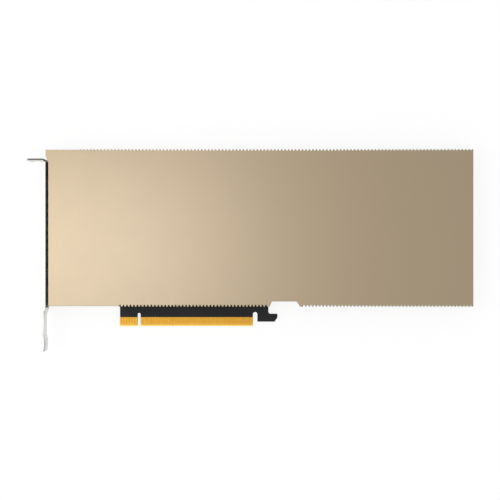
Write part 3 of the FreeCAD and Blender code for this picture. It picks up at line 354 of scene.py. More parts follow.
def openCopy(node, name):
    # a copy of a solid's mesh, open for editing, with its points joined and its flat faces whole
    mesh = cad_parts[node].data.copy()
    mesh.name = name
    work = editMesh(mesh)
    bmesh.ops.remove_doubles(work, verts=work.verts, dist=1e-6)
    bmesh.ops.dissolve_limit(work, angle_limit=radians(0.5), verts=work.verts, edges=work.edges)
    return mesh, work


def bevelEdges(work, edges, width, segments=2, clamp=True):
    bmesh.ops.bevel(work, geom=edges, offset=width * mm, segments=segments, profile=0.5,
                    affect="EDGES", clamp_overlap=clamp)


def bevelSharp(work, width, angle):
    bevelEdges(work, [edge for edge in work.edges if len(edge.link_faces) == 2
                      and edge.calc_face_angle(0) > radians(angle)], width)


def keepCopy(mesh, work, node, slotName, material, angle):
    # the edited copy becomes a piece that stands for the solid
    saveMesh(work, mesh)
    mesh.materials.clear()
    mesh.materials.append(material)
    smoothMesh(mesh, angle)
    keepPiece(addObject(mesh.name, mesh), slotName, node)


def easedCopy(node, slotName, material, width):
    # a solid's own shape with its sharp edges eased
    mesh, work = openCopy(node, node + "_eased")
    bevelSharp(work, width, 30)
    keepCopy(mesh, work, node, slotName, material, 50)


# repeated hardware: one shape set on every point, turned at random if asked

def makePlacingTree():
    tree, given, result = newTree("setOnPoints", "GeometryNodeTree", {
        "Geometry": "Geometry", "Shape": "Object", "Turn": "Float", "Seed": "Int", "Finish": "Material",
    }, {"Geometry": "Geometry"})
    shape = shapeOf(given["Shape"])
    most = addNode(tree, "ShaderNodeCombineXYZ", [("Z", given["Turn"])]).outputs[0]
    turn = addNode(tree, "FunctionNodeRandomValue", data_type="FLOAT_VECTOR")
    for label, value in ((0, (0, 0, 0)), (1, most), ("Seed", given["Seed"])):
        feed(turn.inputs[label], value)
    placed = addNode(tree, "GeometryNodeInstanceOnPoints", [
        ("Points", given["Geometry"]), ("Instance", shape), ("Rotation", turn.outputs[0]),
    ])
    return endTree(tree, placed.outputs[0], given["Finish"], result)


placingTree = makePlacingTree()


def setOnPoints(name, shapeMesh, places, z, material, turn=0.0, seed=1):
    shape = addObject(name + "Shape", shapeMesh)
    points = meshFrom(name + "Points", [(x, y, z) for x, y in places], [])
    values = {"Shape": shape, "Turn": turn, "Seed": seed, "Finish": material}
    piece = bakeTree(name, points, placingTree, values)
    bpy.data.objects.remove(shape)
    smoothMesh(piece.data)
    return piece


# cover

coverShape = {
    "earReach": 1.65, "earDepth": 4.35, "earSlant": 3.8,
    "flatInset": 0.5, "topFlat": 19.8, "bottomFlat": 43.6,
    "notchLeft": 82.4, "notchRight": 101.6, "slantLeft": 1.5, "slantRight": 2.1,
    "notchDepth": 3.35, "notchWall": 1.3, "wall": 2.3, "plate": 1.2,
    "cornerRadius": 0.6, "rimRadius": 0.22, "footChamfer": 0.15,
    "flutePitch": 2.165, "fluteDepth": 1.45, "upperShare": 0.82, "fluteWidth": 2.05,
    "fluteEndMargin": 1.46, "fluteNotchMargin": 1.3, "fluteSteps": 12,
    "bandWidth": 13.0, "bandCuts": 19, "bandedArea": 100.0, "overrun": 3.0,
}
# the hollow colour and the upper and board hollow amounts paint shade into the flute hollows; the bright rim
# colour is a painted highlight on the cover's rims
coverLook = {
    "colour": (0.257, 0.180, 0.086), "metal": 1.0, "roughness": 0.40, "glossChange": 0.03,
    "grainSize": 0.22, "grainDepth": 0.012, "bump": 0.35, "patinaSize": 60, "patinaTone": 0.012,
    "coat": 1.0, "coatRoughness": 0.325, "coatIndex": 1.95, "rimWidth": 0.3, "rimWear": 1.0,
    "wornAndSheenRimColour": (0.80, 0.70, 0.55), "paintedHollowShade": (0.022, 0.018, 0.012), "hollowRoughness": 0.85,
    "upperHollowShade": 0.35, "boardHollowShade": 0.95,
}


def roundedOutline(corners, steps=5):
    # corners are (x, y, radius), counter-clockwise
    outline = []
    for index, (x, y, radius) in enumerate(corners):
        here = Vector((x, y))
        before = Vector(corners[index - 1][:2]) - here
        after = Vector(corners[(index + 1) % len(corners)][:2]) - here
        if not radius:
            outline.append(here)
            continue
        half = before.angle(after) / 2
        reach = radius / tan(half)
        centre = here + (before.normalized() + after.normalized()).normalized() * (radius / sin(half))
        start = here + before.normalized() * reach - centre
        sweep = start.angle_signed(here + after.normalized() * reach - centre)
        for step in range(steps + 1):
            turn = -sweep * step / steps
            outline.append(centre + Vector((
                start.x * cos(turn) - start.y * sin(turn),
                start.x * sin(turn) + start.y * cos(turn),
            )))
    return outline


def insetOutline(outline, inset):
    # moves every point inwards along its mitre
    moved = []
    for index, here in enumerate(outline):
        before = (here - outline[index - 1]).normalized()
        after = (outline[(index + 1) % len(outline)] - here).normalized()
        first, second = Vector((-before.y, before.x)), Vector((-after.y, after.x))
        mitre = first + second
        moved.append(here + mitre * (2 * inset / mitre.length_squared))
    return moved


def splitCaps(mesh, cuts):
    # large flat faces are cut into bands, so that none of them has to be filled from edge to far edge
    work = editMesh(mesh)
    large = coverShape["bandedArea"] * mm * mm
    for x in cuts:
        caps = [face for face in work.faces if abs(face.normal.z) > levelFacing and face.calc_area() > large]
        around = {edge for face in caps for edge in face.edges}
        around |= {vert for face in caps for vert in face.verts}
        bmesh.ops.bisect_plane(work, geom=[*caps, *around], plane_co=(x * mm, 0, 0),
                               plane_no=(1, 0, 0), dist=1e-7)
    saveMesh(work, mesh)


def makeCoverFinish():
    # painted shade: the hollows between the flutes are darkened and dulled, with less metal and coat than the
    # crests, most of all where they stand over the dark board, where it is also a painted dark reflection of
    # the board
    look = coverLook
    parts = startFinish("champagneAnodise", look)
    tree, surface = parts["tree"], parts["surface"]
    hollow = addNode(tree, "ShaderNodeAttribute", attribute_name="hollow").outputs["Fac"]
    wall = calc("LESS_THAN", calc("ABSOLUTE", facingOf(tree)["Z"]), 0.5)
    along = axesOf(parts["place"])["X"]
    fromLeft = calc("GREATER_THAN", along, boxOf("edge_contacts_front")[0].x * mm)
    toRight = calc("LESS_THAN", along, coverShape["notchLeft"] * mm)
    overBoard = times(fromLeft, toRight)

    # a hollow is marked above zero along the top edge and below zero along the bottom edge
    # painted shade: how far the hollows are darkened, more over the dark board
    usual, most = look["upperHollowShade"], look["boardHollowShade"]
    upper = times(hollow, usual, clamp=True)
    lower = times(hollow, calc("MULTIPLY_ADD", overBoard, usual - most, -usual), clamp=True)
    shade = times(calc("ADD", upper, lower), wall, clamp=True)
    left = calc("SUBTRACT", 1.0, shade, clamp=True)
    dulled = look["hollowRoughness"] - look["roughness"]
    for label, value in (
        # the painted shade colour of the hollows
        ("Base Color", mixColour(shade, parts["colour"], look["paintedHollowShade"])),
        ("Roughness", calc("MULTIPLY_ADD", shade, dulled, parts["roughness"])),
        ("Metallic", left),
        ("Coat Weight", left),
    ):
        feed(surface.inputs[label], value)
    return parts["material"]


def makeFluteTree():
    # presses the flutes into the marked walls, then cuts the channel out
    tree, given, result = newTree("fluteWalls", "GeometryNodeTree", {
        "Geometry": "Geometry", "Pitch": "Float", "Width": "Float", "Depth": "Float",
        "Last Flute": "Float", "Channel": "Object", "Finish": "Material",
    }, {"Geometry": "Geometry"})
    x = axesOf(addNode(tree, "GeometryNodeInputPosition").outputs[0])["X"]
    halfPitch = times(given["Pitch"], 0.5)
    along = calc("ADD", calc("SUBTRACT", x, given["Last Flute"]), halfPitch)
    offset = calc("SUBTRACT", calc("FLOORED_MODULO", along, given["Pitch"]), halfPitch)
    wave = calc("COSINE", times(calc("DIVIDE", offset, given["Width"]), tau))
    halfWidth = times(given["Width"], 0.5)
    within = calc("LESS_THAN", calc("ABSOLUTE", offset), halfWidth)
    share = times(calc("MULTIPLY_ADD", wave, 0.5, 0.5), within)
    sideMark = addNode(tree, "GeometryNodeInputNamedAttribute", [("Name", "fluteSide")], data_type="FLOAT")
    hollow = times(share, sideMark.outputs[0])
    marked = addNode(tree, "GeometryNodeStoreNamedAttribute", [
        ("Geometry", given["Geometry"]), ("Name", "hollow"), ("Value", hollow),
    ], data_type="FLOAT", domain="POINT").outputs[0]
    inwards = times(times(hollow, given["Depth"]), -1.0)
    move = addNode(tree, "ShaderNodeCombineXYZ", [("Y", inwards)]).outputs[0]
    fluted = addNode(tree, "GeometryNodeSetPosition", [("Geometry", marked), ("Offset", move)]).outputs[0]
    channel = shapeOf(given["Channel"])
    cut = addNode(tree, "GeometryNodeMeshBoolean", operation="DIFFERENCE", solver="MANIFOLD")
    feed(cut.inputs[0], fluted)
    feed(cut.inputs[1], channel)
    return endTree(tree, cut.outputs[0], given["Finish"], result)


def makeCover():
    shape = coverShape
    low, high = boxOf("shroud")
    left, right, bottom, top = low.x + shape["earReach"], high.x, low.y, high.y
    radius, flat = shape["cornerRadius"], shape["flatInset"]
    bottomFlatEnd, topFlatEnd = left + shape["bottomFlat"], left + shape["topFlat"]
    notchTop = bottom + shape["notchDepth"]
    shoulder = top - shape["earDepth"]
    corners = [
        (left, bottom + flat, radius), (bottomFlatEnd, bottom + flat, 0), (bottomFlatEnd, bottom, 0),
        (shape["notchLeft"], bottom, radius), (shape["notchLeft"] + shape["slantLeft"], notchTop, radius),
        (shape["notchRight"] - shape["slantRight"], notchTop, radius), (shape["notchRight"], bottom, radius),
        (right, bottom, radius), (right, top, radius), (topFlatEnd, top, 0), (topFlatEnd, top - flat, 0),
        (low.x, top - flat, radius), (low.x, shoulder, radius), (left, shoulder - shape["earSlant"], radius),
    ]
    outline = roundedOutline(corners)

    # flutes count from the intake end and keep clear of the notch and the flats
    pitch, last = shape["flutePitch"], right - shape["fluteEndMargin"]
    middles = [last - pitch * index for index in range(ceil((right - left) / pitch))]
    reach, margin = pitch / 2, shape["fluteNotchMargin"]
    runs = {
        bottom: [x for x in middles if bottomFlatEnd + reach <= x <= shape["notchLeft"] - margin
                 or x >= shape["notchRight"] + margin],
        top: [x for x in middles if x >= topFlatEnd + reach],
    }
    steps = shape["fluteSteps"]
    shares = [step / steps - 0.5 for step in range(steps + 1)]
    dense, side = [], []
    for index, here in enumerate(outline):
        following = outline[(index + 1) % len(outline)]
        dense.append(here)
        side.append(0.0)
        crest = next((y for y in runs if abs(here.y - y) < 1e-4 and abs(following.y - y) < 1e-4), None)
        if crest is None or abs(following.x - here.x) < 5:
            continue
        found = {round(x + shape["fluteWidth"] * share, 5) for x in runs[crest] for share in shares}
        inside = [x for x in found if min(here.x, following.x) < x < max(here.x, following.x)]
        for x in sorted(inside, reverse=following.x < here.x):
            dense.append(Vector((x, crest)))
            side.append(shape["upperShare"] if crest == top else -1.0)

    rim, foot = shape["rimRadius"], shape["footChamfer"]
    levels = [(foot, low.z), (0, low.z + foot), (0, high.z - rim)]
    levels += [(rim * (1 - cos(turn)), high.z - rim * (1 - sin(turn)))
               for turn in (radians(22.5 * step) for step in range(1, 5))]
    rings = [[(point.x, point.y, z) for point in (insetOutline(dense, inset) if inset else dense)]
             for inset, z in levels]
    mesh = meshFrom("coverBlank", *closedRings(rings))
    marks = mesh.attributes.new("fluteSide", "FLOAT", "POINT")
    marks.data.foreach_set("value", side * len(levels))

    # the channel under the plate is open at both ends
    thin, over = shape["notchWall"], shape["overrun"]
    start, end, inside = low.x - over, right + over, bottom + shape["wall"]
    inner = [
        (start, inside), (shape["notchLeft"] - thin, inside),
        (shape["notchLeft"] + shape["slantLeft"] - thin, notchTop + thin),
        (shape["notchRight"] - shape["slantRight"] + thin, notchTop + thin),
        (shape["notchRight"] + thin, inside), (end, inside),
        (end, top - shape["wall"]), (start, top - shape["wall"]),
    ]
    roof = high.z - shape["plate"]
    channel = addObject("coverChannel", meshFrom("coverChannel", *closedRings(
        [[(x, y, z) for x, y in inner] for z in (low.z - 1, roof)])))
    cover = bakeTree("fluted_cover", mesh, makeFluteTree(), {
        "Pitch": pitch * mm, "Width": shape["fluteWidth"] * mm, "Depth": shape["fluteDepth"] * mm,
        "Last Flute": last * mm, "Channel": channel, "Finish": makeCoverFinish(),
    })
    bpy.data.objects.remove(channel)
    splitCaps(cover.data, [left + shape["bandWidth"] * (cut + 1) for cut in range(shape["bandCuts"])])
    smoothMesh(cover.data, 40, flatCaps=True)
    keepPiece(cover, "shroud", "shroud")
    print("cover:", len(runs[top]), "flutes on top,", len(runs[bottom]), "below")


makeCover()


# board

boardLook = {
    "colour": (0.0085, 0.0088, 0.0092), "roughness": 0.42, "shine": 0.14, "glossChange": 0.06,
    "grainSize": 0.5, "grainTone": 0.10, "bump": 0.25, "patinaSize": 40, "patinaTone": 0.10,
    "rimWidth": 0.2, "rimWear": 0.25, "wornAndSheenRimColour": (0.05, 0.045, 0.03),
    "ridgeColour": (0.020, 0.021, 0.022), "laminateColour": (0.36, 0.19, 0.024),
    "weaveColour": (0.34, 0.17, 0.03), "stepColour": (0.62, 0.40, 0.07),
    "bevelColour": (0.93, 0.66, 0.17), "edgeColour": (0.020, 0.018, 0.013),
    "plyColour": (0.045, 0.038, 0.022), "maskEdge": 5.75, "stepEdge": 1.9, "bevelEdge": 0.72,
    "fingerEnd": 72.2, "traceStep": 0.9, "traceWidth": 0.38, "traceHeight": 0.03, "viaStep": 2.6,
    "viaRadius": 0.32, "patchScale": 70.0, "pourScale": 45.0, "weaveScale": 420.0, "plyThickness": 0.11,
    "plyContrast": 5200.0,
}


def makeBoardFinish():
    look = {**usualLook, **boardLook}
    parts = startFinish("blackSolderMask", look)
    tree, place = parts["tree"], parts["place"]
    axes = axesOf(place)
    upright = calc("ABSOLUTE", facingOf(tree)["Z"])
    flat = calc("GREATER_THAN", upright, 0.9)

    # buried tracks show as low ridges, in three directions that change from patch to patch
    patches = addNode(tree, "ShaderNodeTexVoronoi", [
        ("Vector", place), ("Scale", look["patchScale"]),
    ], distance="CHEBYCHEV")
    choice = addNode(tree, "ShaderNodeSeparateColor", [(0, patches.outputs["Color"])]).outputs[0]
    lines = None
    for low, high, turn in ((0.0, 0.34, 0.0), (0.34, 0.67, pi / 2), (0.67, 1.01, pi / 4)):
        turned = addNode(tree, "ShaderNodeMapping", [("Vector", place), ("Rotation", (0, 0, turn))])
        step = calc("PINGPONG", axesOf(turned.outputs[0])["X"], look["traceStep"] * mm / 2)
        line = calc("LESS_THAN", step, look["traceWidth"] * mm / 2)
        aboveLow, belowHigh = calc("GREATER_THAN", choice, low), calc("LESS_THAN", choice, high)
        line = times(line, times(aboveLow, belowHigh))
        lines = line if lines is None else calc("MAXIMUM", lines, line)
    pour = noiseOf(place, look["pourScale"], 1.0)
    tracks = times(lines, calc("GREATER_THAN", pour, 0.5))

    # filled vias
    holes = addNode(tree, "ShaderNodeTexVoronoi", [
        ("Vector", place), ("Scale", 1000 / look["viaStep"]), ("Randomness", 0.85),
    ], voronoi_dimensions="2D")
    reach = look["viaRadius"] / look["viaStep"]
    outer = calc("LESS_THAN", holes.outputs["Distance"], reach)
    inner = calc("GREATER_THAN", holes.outputs["Distance"], reach * 0.45)
    raised = calc("MAXIMUM", tracks, times(outer, inner))
    toned = mixColour(times(raised, 0.55), parts["colour"], look["ridgeColour"])

    # the bare tongue between the contacts gets lighter towards its bevelled edge
    weave = addNode(tree, "ShaderNodeTexWave", [
        ("Vector", place), ("Scale", look["weaveScale"]), ("Distortion", 2.0), ("Detail", 2.0),
    ], wave_type="BANDS", bands_direction="DIAGONAL").outputs["Fac"]
    laminate = mixColour(times(weave, 0.18), look["laminateColour"], look["weaveColour"])
    for edge, colour in (("stepEdge", "stepColour"), ("bevelEdge", "bevelColour")):
        near = calc("LESS_THAN", axes["Y"], look[edge] * mm)
        laminate = mixColour(near, laminate, look[colour])
    bare = calc("LESS_THAN", axes["Y"], look["maskEdge"] * mm)
    inFinger = times(bare, calc("LESS_THAN", axes["X"], look["fingerEnd"] * mm))
    faceColour = mixColour(inFinger, toned, laminate)

    # plies show on the cut edge
    layers = calc("PINGPONG", axes["Z"], look["plyThickness"] * mm)
    layers = times(layers, look["plyContrast"], clamp=True)
    plies = mixColour(layers, look["edgeColour"], look["plyColour"])
    edged = mixColour(calc("LESS_THAN", upright, 0.1), faceColour, plies)
    feed(parts["surface"].inputs["Base Color"], edged)
    ridges, rise = times(raised, flat), look["traceHeight"] / look["grainDepth"]
    height = calc("MULTIPLY_ADD", ridges, rise, parts["grain"]["Height"])
    feed(parts["bump"].inputs["Height"], height)
    return parts["material"]


dressSolids(makeBoardFinish(), "circuit_board")

contactLook = {
    "colour": (0.595, 0.31, 0.037), "metal": 1.0, "roughness": 0.45, "glossChange": 0.12,
    "grainSize": 0.12, "grainDepth": 0.004, "bump": 0.4, "stretch": (1, 0.12, 1), "patinaSize": 9,
    "patinaTone": 0.10, "rimWidth": 0.06, "rimWear": 0.5, "wornAndSheenRimColour": (0.55, 0.27, 0.04),
}
goldPlate = makeFinish("goldPlate", contactLook)
dressSolids(goldPlate, "edge_contacts_front", "edge_contacts_back")
print("board and contacts done")


# bracket: the solid's folded sheet, with rounder vents and eased edges

bracketShape = {
    "ventRound": 0.34, "ventAngle": 40, "ventLow": 3.4, "ventHigh": 13.3, "ventStart": 11.0,
    "thinnest": 0.8, "longest": 1.1, "edge": 0.12, "edgeAngle": 50,
}
bracketLook = {
    "colour": (0.70, 0.69, 0.665), "metal": 1.0, "roughness": 0.36, "grainSize": 0.5, "grainDepth": 0.010,
    "stretch": (1, 0.08, 1), "patinaSize": 22, "patinaTone": 0.05, "rimWidth": 0.3, "rimWear": 0.5,
    "wornAndSheenRimColour": (0.80, 0.79, 0.77), "tabStart": 103.2, "tabDark": (0.055, 0.052, 0.048),
    "tabLight": (0.11, 0.105, 0.095), "streakScale": 700.0, "tongueEnd": 10.5,
    "tongueColour": (0.30, 0.295, 0.285), "tongueShare": 0.75,
}


def makeBracketFinish():
    # nickel-plated sheet; the cut front edge is painted near-black with streaks on the tab, and a duller grey
    # on the tongue
    look = bracketLook
    parts = startFinish("nickelSheet", look)
    tree = parts["tree"]
    along = axesOf(parts["place"])["Y"]
    front = calc("GREATER_THAN", facingOf(tree)["Z"], 0.75)
    tab = times(front, calc("GREATER_THAN", along, look["tabStart"] * mm))
    tongue = times(front, calc("LESS_THAN", along, look["tongueEnd"] * mm))
    streaks = noiseOf(parts["place"], look["streakScale"], 2.0)
    # a near-black streaked tone for the tab's up-facing faces
    bare = mixColour(streaks, look["tabDark"], look["tabLight"])
    duller = times(tongue, look["tongueShare"])
    plated = mixColour(duller, parts["colour"], look["tongueColour"])
    feed(parts["surface"].inputs["Base Color"], mixColour(tab, plated, bare))
    return parts["material"]


def makeBracket():
    shape = bracketShape
    mesh, work = openCopy("io_bracket", "vented_bracket")

    def isVentCorner(edge):
        # a cut corner of a vent runs straight through the sheet
        first, second = (vert.co / mm for vert in edge.verts)
        through = abs(first.x - second.x) > shape["thinnest"] and (first - second).length < shape["longest"]
        angle = degrees(edge.calc_face_angle(0)) if len(edge.link_faces) == 2 else 0
        inPlate = shape["ventLow"] < first.z < shape["ventHigh"] and first.y > shape["ventStart"]
        return through and inPlate and shape["ventAngle"] < angle < shape["edgeAngle"]

    corners = [edge for edge in work.edges if isVentCorner(edge)]
    print("vent corners:", len(corners))
    bevelEdges(work, corners, shape["ventRound"], 3)
    bevelSharp(work, shape["edge"], shape["edgeAngle"])
    keepCopy(mesh, work, "io_bracket", "bracket", makeBracketFinish(), 35)


makeBracket()


# fine perforated dark screen behind the vents, put there as painted shade for the dark inside seen through
# them

shadeScreenShape = {
    "face": -57.3, "start": 12.2, "low": 1.75, "pitch": 1.3, "rows": 9, "columns": 70,
    "hole": 0.46, "sheet": 0.22, "frame": 0.5,
}
shadeScreenLook = {
    "colour": (0.105, 0.096, 0.086), "roughness": 0.55, "shine": 0.4, "glossChange": 0.08,
    "grainSize": 0.15, "grainTone": 0.12, "bump": 0.4, "patinaSize": 12, "rimWidth": 0.06,
    "wornAndSheenRimColour": (0.06, 0.06, 0.06),
}


def makeShadeScreen():
    # one pierced square, set on every point of a grid, then framed
    shape = shadeScreenShape
    face, sheet, pitch, band = shape["face"], shape["sheet"], shape["pitch"], shape["frame"]
    turns = [tau * index / 8 for index in range(8)]
    border = [(round(cos(turn)) * pitch / 2, round(sin(turn)) * pitch / 2) for turn in turns]
    rim = [(shape["hole"] * cos(turn), shape["hole"] * sin(turn)) for turn in turns]
    rings = [(0.0, border), (0.0, rim), (sheet, rim), (sheet, border)]
    points = [(x, y, z) for x, ring in rings for y, z in ring]
    faces = []
    for level in range(len(rings) - 1):
        for index in range(8):
            here, after = level * 8 + index, level * 8 + (index + 1) % 8
            faces.append((here, after, after + 8, here + 8))
    places = [(face, shape["start"] + pitch * (column + 0.5), shape["low"] + pitch * (row + 0.5))
              for column in range(shape["columns"]) for row in range(shape["rows"])]
    cell = addObject("pierced", meshFrom("pierced", points, faces))
    # the dark screen is painted shade behind the vents
    values = {"Shape": cell, "Finish": makeFinish("blackScreen", shadeScreenLook)}
    piece = bakeTree("vent_screen", meshFrom("screenPoints", places, []), placingTree, values)
    bpy.data.objects.remove(cell)

    length, height = pitch * shape["columns"], pitch * shape["rows"]
    y, z = shape["start"] + length / 2, shape["low"] + height / 2
    bars = [(y, z + side * (height + band) / 2, length + band * 2, band) for side in (-1, 1)]
    bars += [(y + side * (length + band) / 2, z, band, height) for side in (-1, 1)]
    work = editMesh(piece.data)
    for y, z, wide, tall in bars:
        made = bmesh.ops.create_cube(work, size=1.0)["verts"]
        bmesh.ops.scale(work, vec=Vector((sheet, wide, tall)) * mm, verts=made)
        bmesh.ops.translate(work, vec=Vector((face + sheet / 2, y, z)) * mm, verts=made)
    saveMesh(work, piece.data)
    smoothMesh(piece.data)
    keepPiece(piece, "spring_steel")


makeShadeScreen()
print("bracket done")


# screws, all driven from the back

screwShape = {
    "face": -2.92, "rim": 0.35, "rimShare": 0.45, "chamfer": 0.08, "sides": 36,
    "shankRadius": 1.25, "pitch": 0.45, "threadDepth": 0.16,
    "lobes": 6, "recessRadius": 1.02, "recessWave": 0.2, "recessDepth": 0.85, "recessFloor": 0.12,
}
screwSets = [
    # node, head radius, top of the head, top of the shank, places
    ("cover_screws", 2.4, -1.57, 5.0,
     [(-51.5, 19.05), (-51.5, 62.0), (-51.5, 104.0), (203.5, 31.0), (203.5, 79.5)]),
    ("bracket_screws", 2.4, -1.57, 1.0, [(-51.9, 34.0), (-51.9, 90.0)]),
    ("heatsink_screws", 2.4, -1.57, 4.8, [(x, y) for x in (-42.0, 130.0, 180.5) for y in (23.95, 101.95)]),
    ("spring_screws", 2.9, -2.32, 2.3, [(x, y) for x in (25.5, 78.5) for y in (35.5, 88.5)]),
]
screwLook = {
    "colour": (0.40, 0.40, 0.41), "metal": 1.0, "roughness": 0.30, "grainSize": 0.18, "grainTone": 0.08,
    "grainDepth": 0.006, "bump": 0.4, "patinaSize": 6, "patinaTone": 0.10, "rimWear": 0.6,
    "wornAndSheenRimColour": (0.66, 0.65, 0.64),
}


def screwMesh(name, headRadius, headHigh, shankTop):
    # a low head with a lobed recess, its face down, and a threaded shank
    shape = screwShape
    headLow, shank, chamfer, sides = shape["face"], shape["shankRadius"], shape["chamfer"], shape["sides"]
    rim = min(shape["rim"], (headHigh - headLow) * shape["rimShare"])
    depth = min(shape["recessDepth"], (headHigh - headLow) - shape["recessFloor"])
    rings = []
    level, crest = shankTop, False
    while level > headHigh + 0.2:
        rings.append(circle(shank - (0.0 if crest else shape["threadDepth"]), level, sides))
        level, crest = level - shape["pitch"] / 2, not crest
    rings += [circle(shank - 0.1, headHigh + 0.05, sides), circle(shank, headHigh, sides)]
    rings += [circle(headRadius - chamfer, headHigh, sides), circle(headRadius, headHigh - chamfer, sides)]
    for step in range(5):
        turn = radians(22.5 * step)
        rings.append(circle(headRadius - rim * (1 - cos(turn)), headLow + rim * (1 - sin(turn)), sides))
    for reach, z in ((0.08, headLow), (0.0, headLow + 0.06), (-0.04, headLow + depth)):
        rings.append(circle(shape["recessRadius"] + reach, z, sides, shape["lobes"], shape["recessWave"]))
    points, faces = closedRings(rings, tip=(0, 0, headLow + depth + 0.05), base=(0, 0, shankTop + 0.2))
    return meshFrom(name, points, faces)


brightSteel = makeFinish("zincSteel", screwLook)
for node, radius, headHigh, shankTop, places in screwSets:
    blank = screwMesh(node + "Shape", radius, headHigh, shankTop)
    screws = setOnPoints(node + "_driven", blank, places, 0, brightSteel, tau, 7)
    keepPiece(screws, "screw_steel", node)
print("screws done")


# solder rings and fillets on the back of the board

solderShape = {
    "ringInner": 1.6, "ringOuter": 3.2, "ringHeight": 0.04, "ringSlope": 0.03, "ringSides": 40,
    "filletRadius": 1.25, "filletHeight": 0.8, "filletTip": 0.06, "filletSides": 20,
    "tailColumns": (194.3, 190.3), "tailRows": (87.0, 91.2, 95.4, 99.6),
}
solderLook = {
    "colour": (0.55, 0.55, 0.54), "metal": 1.0, "roughness": 0.28, "glossChange": 0.15, "grainSize": 0.3,
    "grainTone": 0.06, "grainDepth": 0.01, "patinaSize": 4, "rimWidth": 0.1, "rimWear": 0.2,
    "wornAndSheenRimColour": (0.7, 0.7, 0.69),
}
boardBack = boxOf("circuit_board")[0].z


def makeScrewPads():
    # flat gold rings under every screw that goes through the board
    shape = solderShape
    inner, outer, sides = shape["ringInner"], shape["ringOuter"], shape["ringSides"]
    drop = -shape["ringHeight"]
    rings = [circle(inner, 0, sides), circle(inner, drop, sides),
             circle(outer - shape["ringSlope"], drop, sides), circle(outer, 0, sides)]
    points, faces = closedRings(rings)
    last = 3 * sides
    faces = faces[:-2] + [(index, last + index, last + (index + 1) % sides, (index + 1) % sides)
                          for index in range(sides)]
    places = [place for item in screwSets[:3] for place in item[-1]]
    pads = setOnPoints("screw_pads", meshFrom("padShape", points, faces), places, boardBack, goldPlate)
    keepPiece(pads, "gold_contact")


def makePinSolder():
    # a fillet round the tail of every header pin
    shape = solderShape
    rings = [circle(shape["filletRadius"] * share, -shape["filletHeight"] * drop, shape["filletSides"])
             for share, drop in ((1.0, 0.0), (0.99, 0.08), (0.80, 0.28), (0.70, 0.6), (0.66, 1.0))]
    points, faces = closedRings(rings, tip=(0, 0, -shape["filletHeight"] - shape["filletTip"]))
    places = [(x, y) for x in shape["tailColumns"] for y in shape["tailRows"]]
    solder = makeFinish("solder", solderLook)
    fillets = setOnPoints("pin_solder", meshFrom("filletShape", points, faces), places, boardBack, solder)
    keepPiece(fillets, "pin_metal")


makeScrewPads()
makePinSolder()
print("solder done")


# power header and its pins

headerLook = {
    "colour": (0.010, 0.010, 0.011), "roughness": 0.38, "shine": 0.4, "glossChange": 0.08,
    "grainSize": 0.16, "grainTone": 0.10, "grainDepth": 0.012, "bump": 0.35, "patinaSize": 8,
    "wornAndSheenRimColour": (0.03, 0.03, 0.032),
}
pinLook = {
    "colour": (0.62, 0.60, 0.56), "metal": 1.0, "roughness": 0.25, "grainSize": 0.2, "grainDepth": 0.004,
    "patinaSize": 5, "rimWidth": 0.08, "wornAndSheenRimColour": (0.75, 0.74, 0.70),
}
easedCopy("power_header", "header_case", makeFinish("blackNylon", headerLook), 0.12)
easedCopy("header_pins", "pin_metal", makeFinish("tinPlate", pinLook), 0.12)


# chip capacitors with metal end caps, and their solder

chipShape = {
    "cap": 0.32, "usualLength": 1.6, "edge": 0.07, "proud": 0.02,
    "middle": (52, 62), "backStep": 4.4, "frontStep": 4, "frontReach": 26.75,
}
chipLook = {
    "colour": (0.28, 0.18, 0.11), "roughness": 0.42, "grainSize": 0.12, "grainTone": 0.12, "bump": 0.4,
    "patinaSize": 3, "patinaTone": 0.12, "rimWidth": 0.06, "rimWear": 0.4,
    "wornAndSheenRimColour": (0.40, 0.29, 0.20), "capColour": (0.60, 0.59, 0.57),
}


def chipMesh(name, width, length, height, down):
    # a ceramic block along Y that stands on z 0, with a cap on each end, or hangs from it
    shape = chipShape
    points, faces, marks = [], [], []

    def block(xs, ys, zs, cap):
        start = len(points)
        corners = ((xs[0], ys[0]), (xs[1], ys[0]), (xs[1], ys[1]), (xs[0], ys[1]))
        points.extend((x, y, z) for z in zs for x, y in corners)
        marks.extend([cap] * 8)
        for face in ((0, 3, 2, 1), (4, 5, 6, 7), (0, 1, 5, 4), (1, 2, 6, 5), (2, 3, 7, 6), (3, 0, 4, 7)):
            faces.append([start + index for index in face])

    proud, cap = shape["proud"], shape["cap"] * (length / shape["usualLength"])
    sign = -1 if down else 1
    block((-width / 2 + proud, width / 2 - proud), (-length / 2 + cap * 0.9, length / 2 - cap * 0.9),
          sorted((0, sign * (height - proud))), 0.0)
    for end in (-1, 1):
        ys = sorted((end * length / 2, end * (length / 2 - cap)))
        block((-width / 2, width / 2), ys, sorted((0, sign * height)), 1.0)
    mesh = meshFrom(name, points, faces)
    mesh.attributes.new("cap", "FLOAT", "POINT").data.foreach_set("value", marks)
    work = editMesh(mesh)
    bevelEdges(work, list(work.edges), shape["edge"], clamp=False)
    saveMesh(work, mesh)
    return mesh


def makeChipFinish():
    parts = startFinish("chipCeramic", chipLook)
    tree, surface = parts["tree"], parts["surface"]
    capMark = addNode(tree, "ShaderNodeAttribute", attribute_name="cap").outputs["Fac"]
    capped = calc("GREATER_THAN", capMark, 0.5)
    feed(surface.inputs["Base Color"], mixColour(capped, parts["colour"], chipLook["capColour"]))
    feed(surface.inputs["Metallic"], capped)
    return parts["material"]


def setChips(side, sizes, places, z, finish):
    blank = chipMesh(side + "Chip", *sizes, down=side == "back")
    chips = setOnPoints(side + "_chips", blank, places, z, finish)
    keepPiece(chips, "chip_capacitor", "chip_capacitors_" + side)


